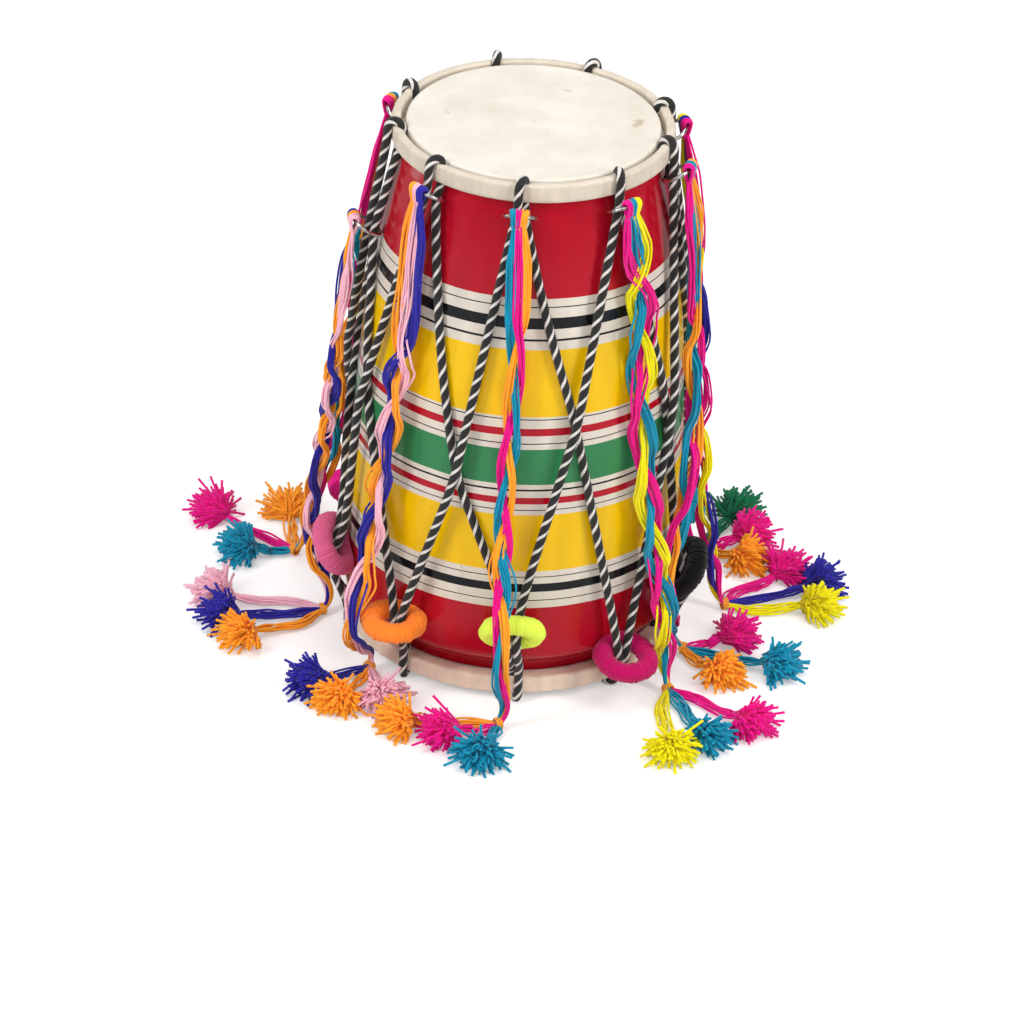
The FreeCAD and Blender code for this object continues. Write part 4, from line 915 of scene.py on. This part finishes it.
for index, tassel in enumerate(tassels):
    number = index + 1
    look = yarnLook
    generator = np.random.default_rng(500 + index)
    knotAt, outward, sideways = knotSpots[index]
    down = np.array([0, 0, -1.0])
    tieAt = np.array([*tassel["tie"], 5.0]) * mm
    goals = np.array([(x, y, 12) for _, x, y in tassel["pompoms"]]) * mm
    heading = np.array([*unit((goals - tieAt)[:, :2].mean(0)), 0])
    start = knotAt + outward * 0.0003 + down * 0.0076
    corners = [start] + [np.array(p) * mm for p in tassel["route"]]
    corners += [tieAt - heading * 0.009 + [0, 0, 0.010], tieAt]
    line, s = routeLine(corners, look["step"])
    steps, end = len(line), s[-1]
    # three ribbons of yarn hang side by side, then plait: x = swing sin(turn), y = depth tanh(2 sin(2 turn))
    plaited = np.clip((s - look["loose"][index]) / 0.035, 0, 1)
    plaited = plaited * plaited * (3 - 2 * plaited)
    spread = look["spread"][index]
    gather = np.interp(s, [0, 0.028, end - 0.040, end - 0.004], [0.5, spread, 0.9 * spread, 0.34])
    wobble = smoothNoise(1, steps, 6, generator)[0]
    plait = tau * (np.cumsum(1 + 0.28 * wobble) * look["step"] / look["pitch"] + generator.uniform())
    parts = []
    for strand in range(3):
        turn = plait + tau * strand / 3
        count = look["perStrand"]
        k = np.arange(count)
        u = ((2 * k + 1) / count - 1)[:, None] * look["ribbon"]
        lean = 0.75 * np.sin(turn + strand + wobble)
        layer = (look["layer"] * (-1.0) ** k)[:, None]
        loose = look["wander"] * smoothNoise(count, steps, 9, generator)
        looseDeep = look["wander"] * 0.6 * smoothNoise(count, steps, 9, generator)
        # two yarns of each ribbon have slipped out into loops
        loopAt = generator.uniform(0.2, 0.85, (2, 1)) * end
        loose[[1, -2]] += look["stray"] * np.exp(-((s - loopAt) / 0.02) ** 2) * [[-1], [1]]
        x = plaited * look["swing"] * np.sin(turn) + (1 - plaited) * (strand - 1) * look["apart"]
        y = plaited * look["depth"] * np.tanh(2 * np.sin(2 * turn))
        u = u * (1 - 0.36 * plaited)
        x = gather * (x + u * np.cos(lean) - layer * np.sin(lean) + loose)
        y = gather * (y + 0.6 * u * np.sin(lean) + layer * np.cos(lean) + looseDeep)
        paths = yarnBundle(line, sideways, x, y, look["yarn"])
        parts.append((*tubes(paths, sideways, look["yarn"], look["sides"], look["step"]), strand))
    points, faces, uv, numbers = joinPieces(parts)
    yarns = [yarnMaterials[c] for c in tassel["colours"]]
    braid = makePiece(f"braid{number}", points, faces, yarns, uv=uv, stands=(f"braid_{number}",),
                      faceMaterial=numbers)
    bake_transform(braid)

    # tails: each colour runs over the floor to its pompom
    towards = np.arctan2(goals[:, 1] - tieAt[1], goals[:, 0] - tieAt[0])
    mean = math.atan2(np.sin(towards).sum(), np.cos(towards).sum())
    order = np.argsort(np.argsort((towards - mean + math.pi) % tau - math.pi))
    tailParts, tuftParts = [], []
    for which, goal in enumerate(goals):
        leaveAngle = mean + (order[which] - 1) * math.radians(42)
        leave = np.array([math.cos(leaveAngle), math.sin(leaveAngle), 0])
        back = unit((tieAt - goal) * [1, 1, 0])
        ground = goal * [1, 1, 0]
        tail, tailLengths = routeLine(
            [tieAt, tieAt + leave * 0.010 + [0, 0, -0.0008], tieAt + leave * 0.024 + [0, 0, -0.0014],
             ground + back * 0.024 + [0, 0, 0.0042], ground + back * 0.0095 + [0, 0, 0.0075]], look["step"])
        count = look["tailYarns"]
        k = np.arange(count)
        share = tailLengths / tailLengths[-1]
        gather = np.interp(share, [0, 0.25, 0.8, 1], [0.34, 1, 1, 0.42])
        away = look["tailBundle"] * np.sqrt((k + 0.4) / count)[:, None]
        around = (k * 2.39996)[:, None] + 1.2 * tailLengths[None] / 0.1
        loose = smoothNoise(count, len(tail), 5, generator) * 0.0012
        x = gather * (1.35 * away * np.cos(around) + loose)
        y = gather * 0.7 * away * np.sin(around)
        paths = yarnBundle(tail, np.cross(np.gradient(tail, axis=0), [0, 0, 1.0]), x, y, look["yarn"])
        tailParts.append((*tubes(paths, [0, 0, 1.0], look["yarn"], look["sides"], look["step"]), which))

        # pompom: cut yarns that fan out of the tail's end, away from it, and droop a little
        count = look["tufts"]
        ways = unit(generator.normal(size=(count, 3)))
        ways[:, 2] = np.abs(ways[:, 2]) * 0.9 - 0.12
        ways = unit(ways - back * 1.05)
        reach = look["tuftReach"] * (0.66 - 0.34 * ways @ back) * generator.uniform(0.62, 1.0, count) ** 0.5
        t = np.linspace(0, 1, look["tuftSteps"])[None, :, None]
        bendWay = generator.normal(size=(count, 3)) * 0.21 - [0, 0, 0.16]
        heart = ground + back * 0.0095 + [0, 0, 0.0080] + generator.normal(size=(count, 3)) * 0.0017
        paths = heart[:, None] + reach[:, None, None] * (ways[:, None] * t + bendWay[:, None] * t ** 2)
        paths[..., 2] = np.maximum(paths[..., 2], look["tipYarn"])
        reference = unit(np.cross(ways, [0.31, 0.52, 0.79]))[:, None]
        thick = look["tipYarn"] * np.linspace(0.85, 1.15, look["tuftSteps"])[None]
        tuftStep = look["tuftReach"] / look["tuftSteps"]
        tuftParts.append((*tubes(paths, reference, thick, look["sides"], tuftStep), which))
    pomColours = [yarnMaterials[c] for c, _, _ in tassel["pompoms"]]
    points, faces, uv, numbers = joinPieces(tailParts)
    tails = makePiece(f"tails{number}", points, faces, pomColours, "drum", uv=uv, faceMaterial=numbers)
    points, faces, uv, numbers = joinPieces(tuftParts)
    pompoms = makePiece(f"pompoms{number}", points, faces, pomColours, "drum", uv=uv,
                        stands=(f"pompoms_{number}",), faceMaterial=numbers)

    # tie: a thin yarn wound round the gathered strands
    look = tieLook
    wind = np.linspace(0, look["winds"] * tau, look["steps"])
    tieSide = np.cross(heading, [0, 0, 1.0])
    tieLine = (tieAt + heading * (wind / tau - look["winds"] / 2)[:, None] * look["pitch"] + look["radius"]
               * (np.cos(wind)[:, None] * tieSide + np.sin(wind)[:, None] * np.array([0, 0, 1.0])))
    points, faces, uv = tubes(tieLine[None], heading, look["yarn"], look["sides"], 0.0012)
    points[:, 2] = np.maximum(points[:, 2], 0)
    tie = makePiece(f"tie{number}", points, faces, [yarnMaterials["tie"]], "drum", uv=uv,
                    stands=("tassel_ties",))

    # knot: each strand's yarns looped over the steel wire, long and narrow below it
    look, loops = knotLook, []
    for strand in range(3):
        count = look["perStrand"]
        k = np.arange(count)
        x0 = ((strand - 1) * look["strandGap"] + (k - (count - 1) / 2) * look["yarnGap"])[:, None]
        a = np.linspace(0, tau, look["steps"])[None]
        reach = look["reach"] + look["vary"] * np.sin(k * 2.4 + strand)[:, None]
        xs = x0 * (0.85 + 0.2 * np.cos(a)) + look["wave"] * np.sin(a * 2 + k[:, None])
        outs = reach * np.sin(a) * (0.74 + 0.24 * np.cos(a))
        ups = reach * np.cos(a) * np.where(np.cos(a) > 0, 1.0, look["below"])
        paths = knotAt + xs[..., None] * sideways + outs[..., None] * outward - ups[..., None] * down
        loops.append((*tubes(paths, sideways, look["yarn"], look["sides"], 0.0007), strand))
    points, faces, uv, numbers = joinPieces(loops)
    makePiece(f"knot{number}", points, faces, yarns, f"steel_eye_{number}", uv=uv,
              stands=(f"tassel_knot_{number}",), faceMaterial=numbers)
print("stage: tassels")
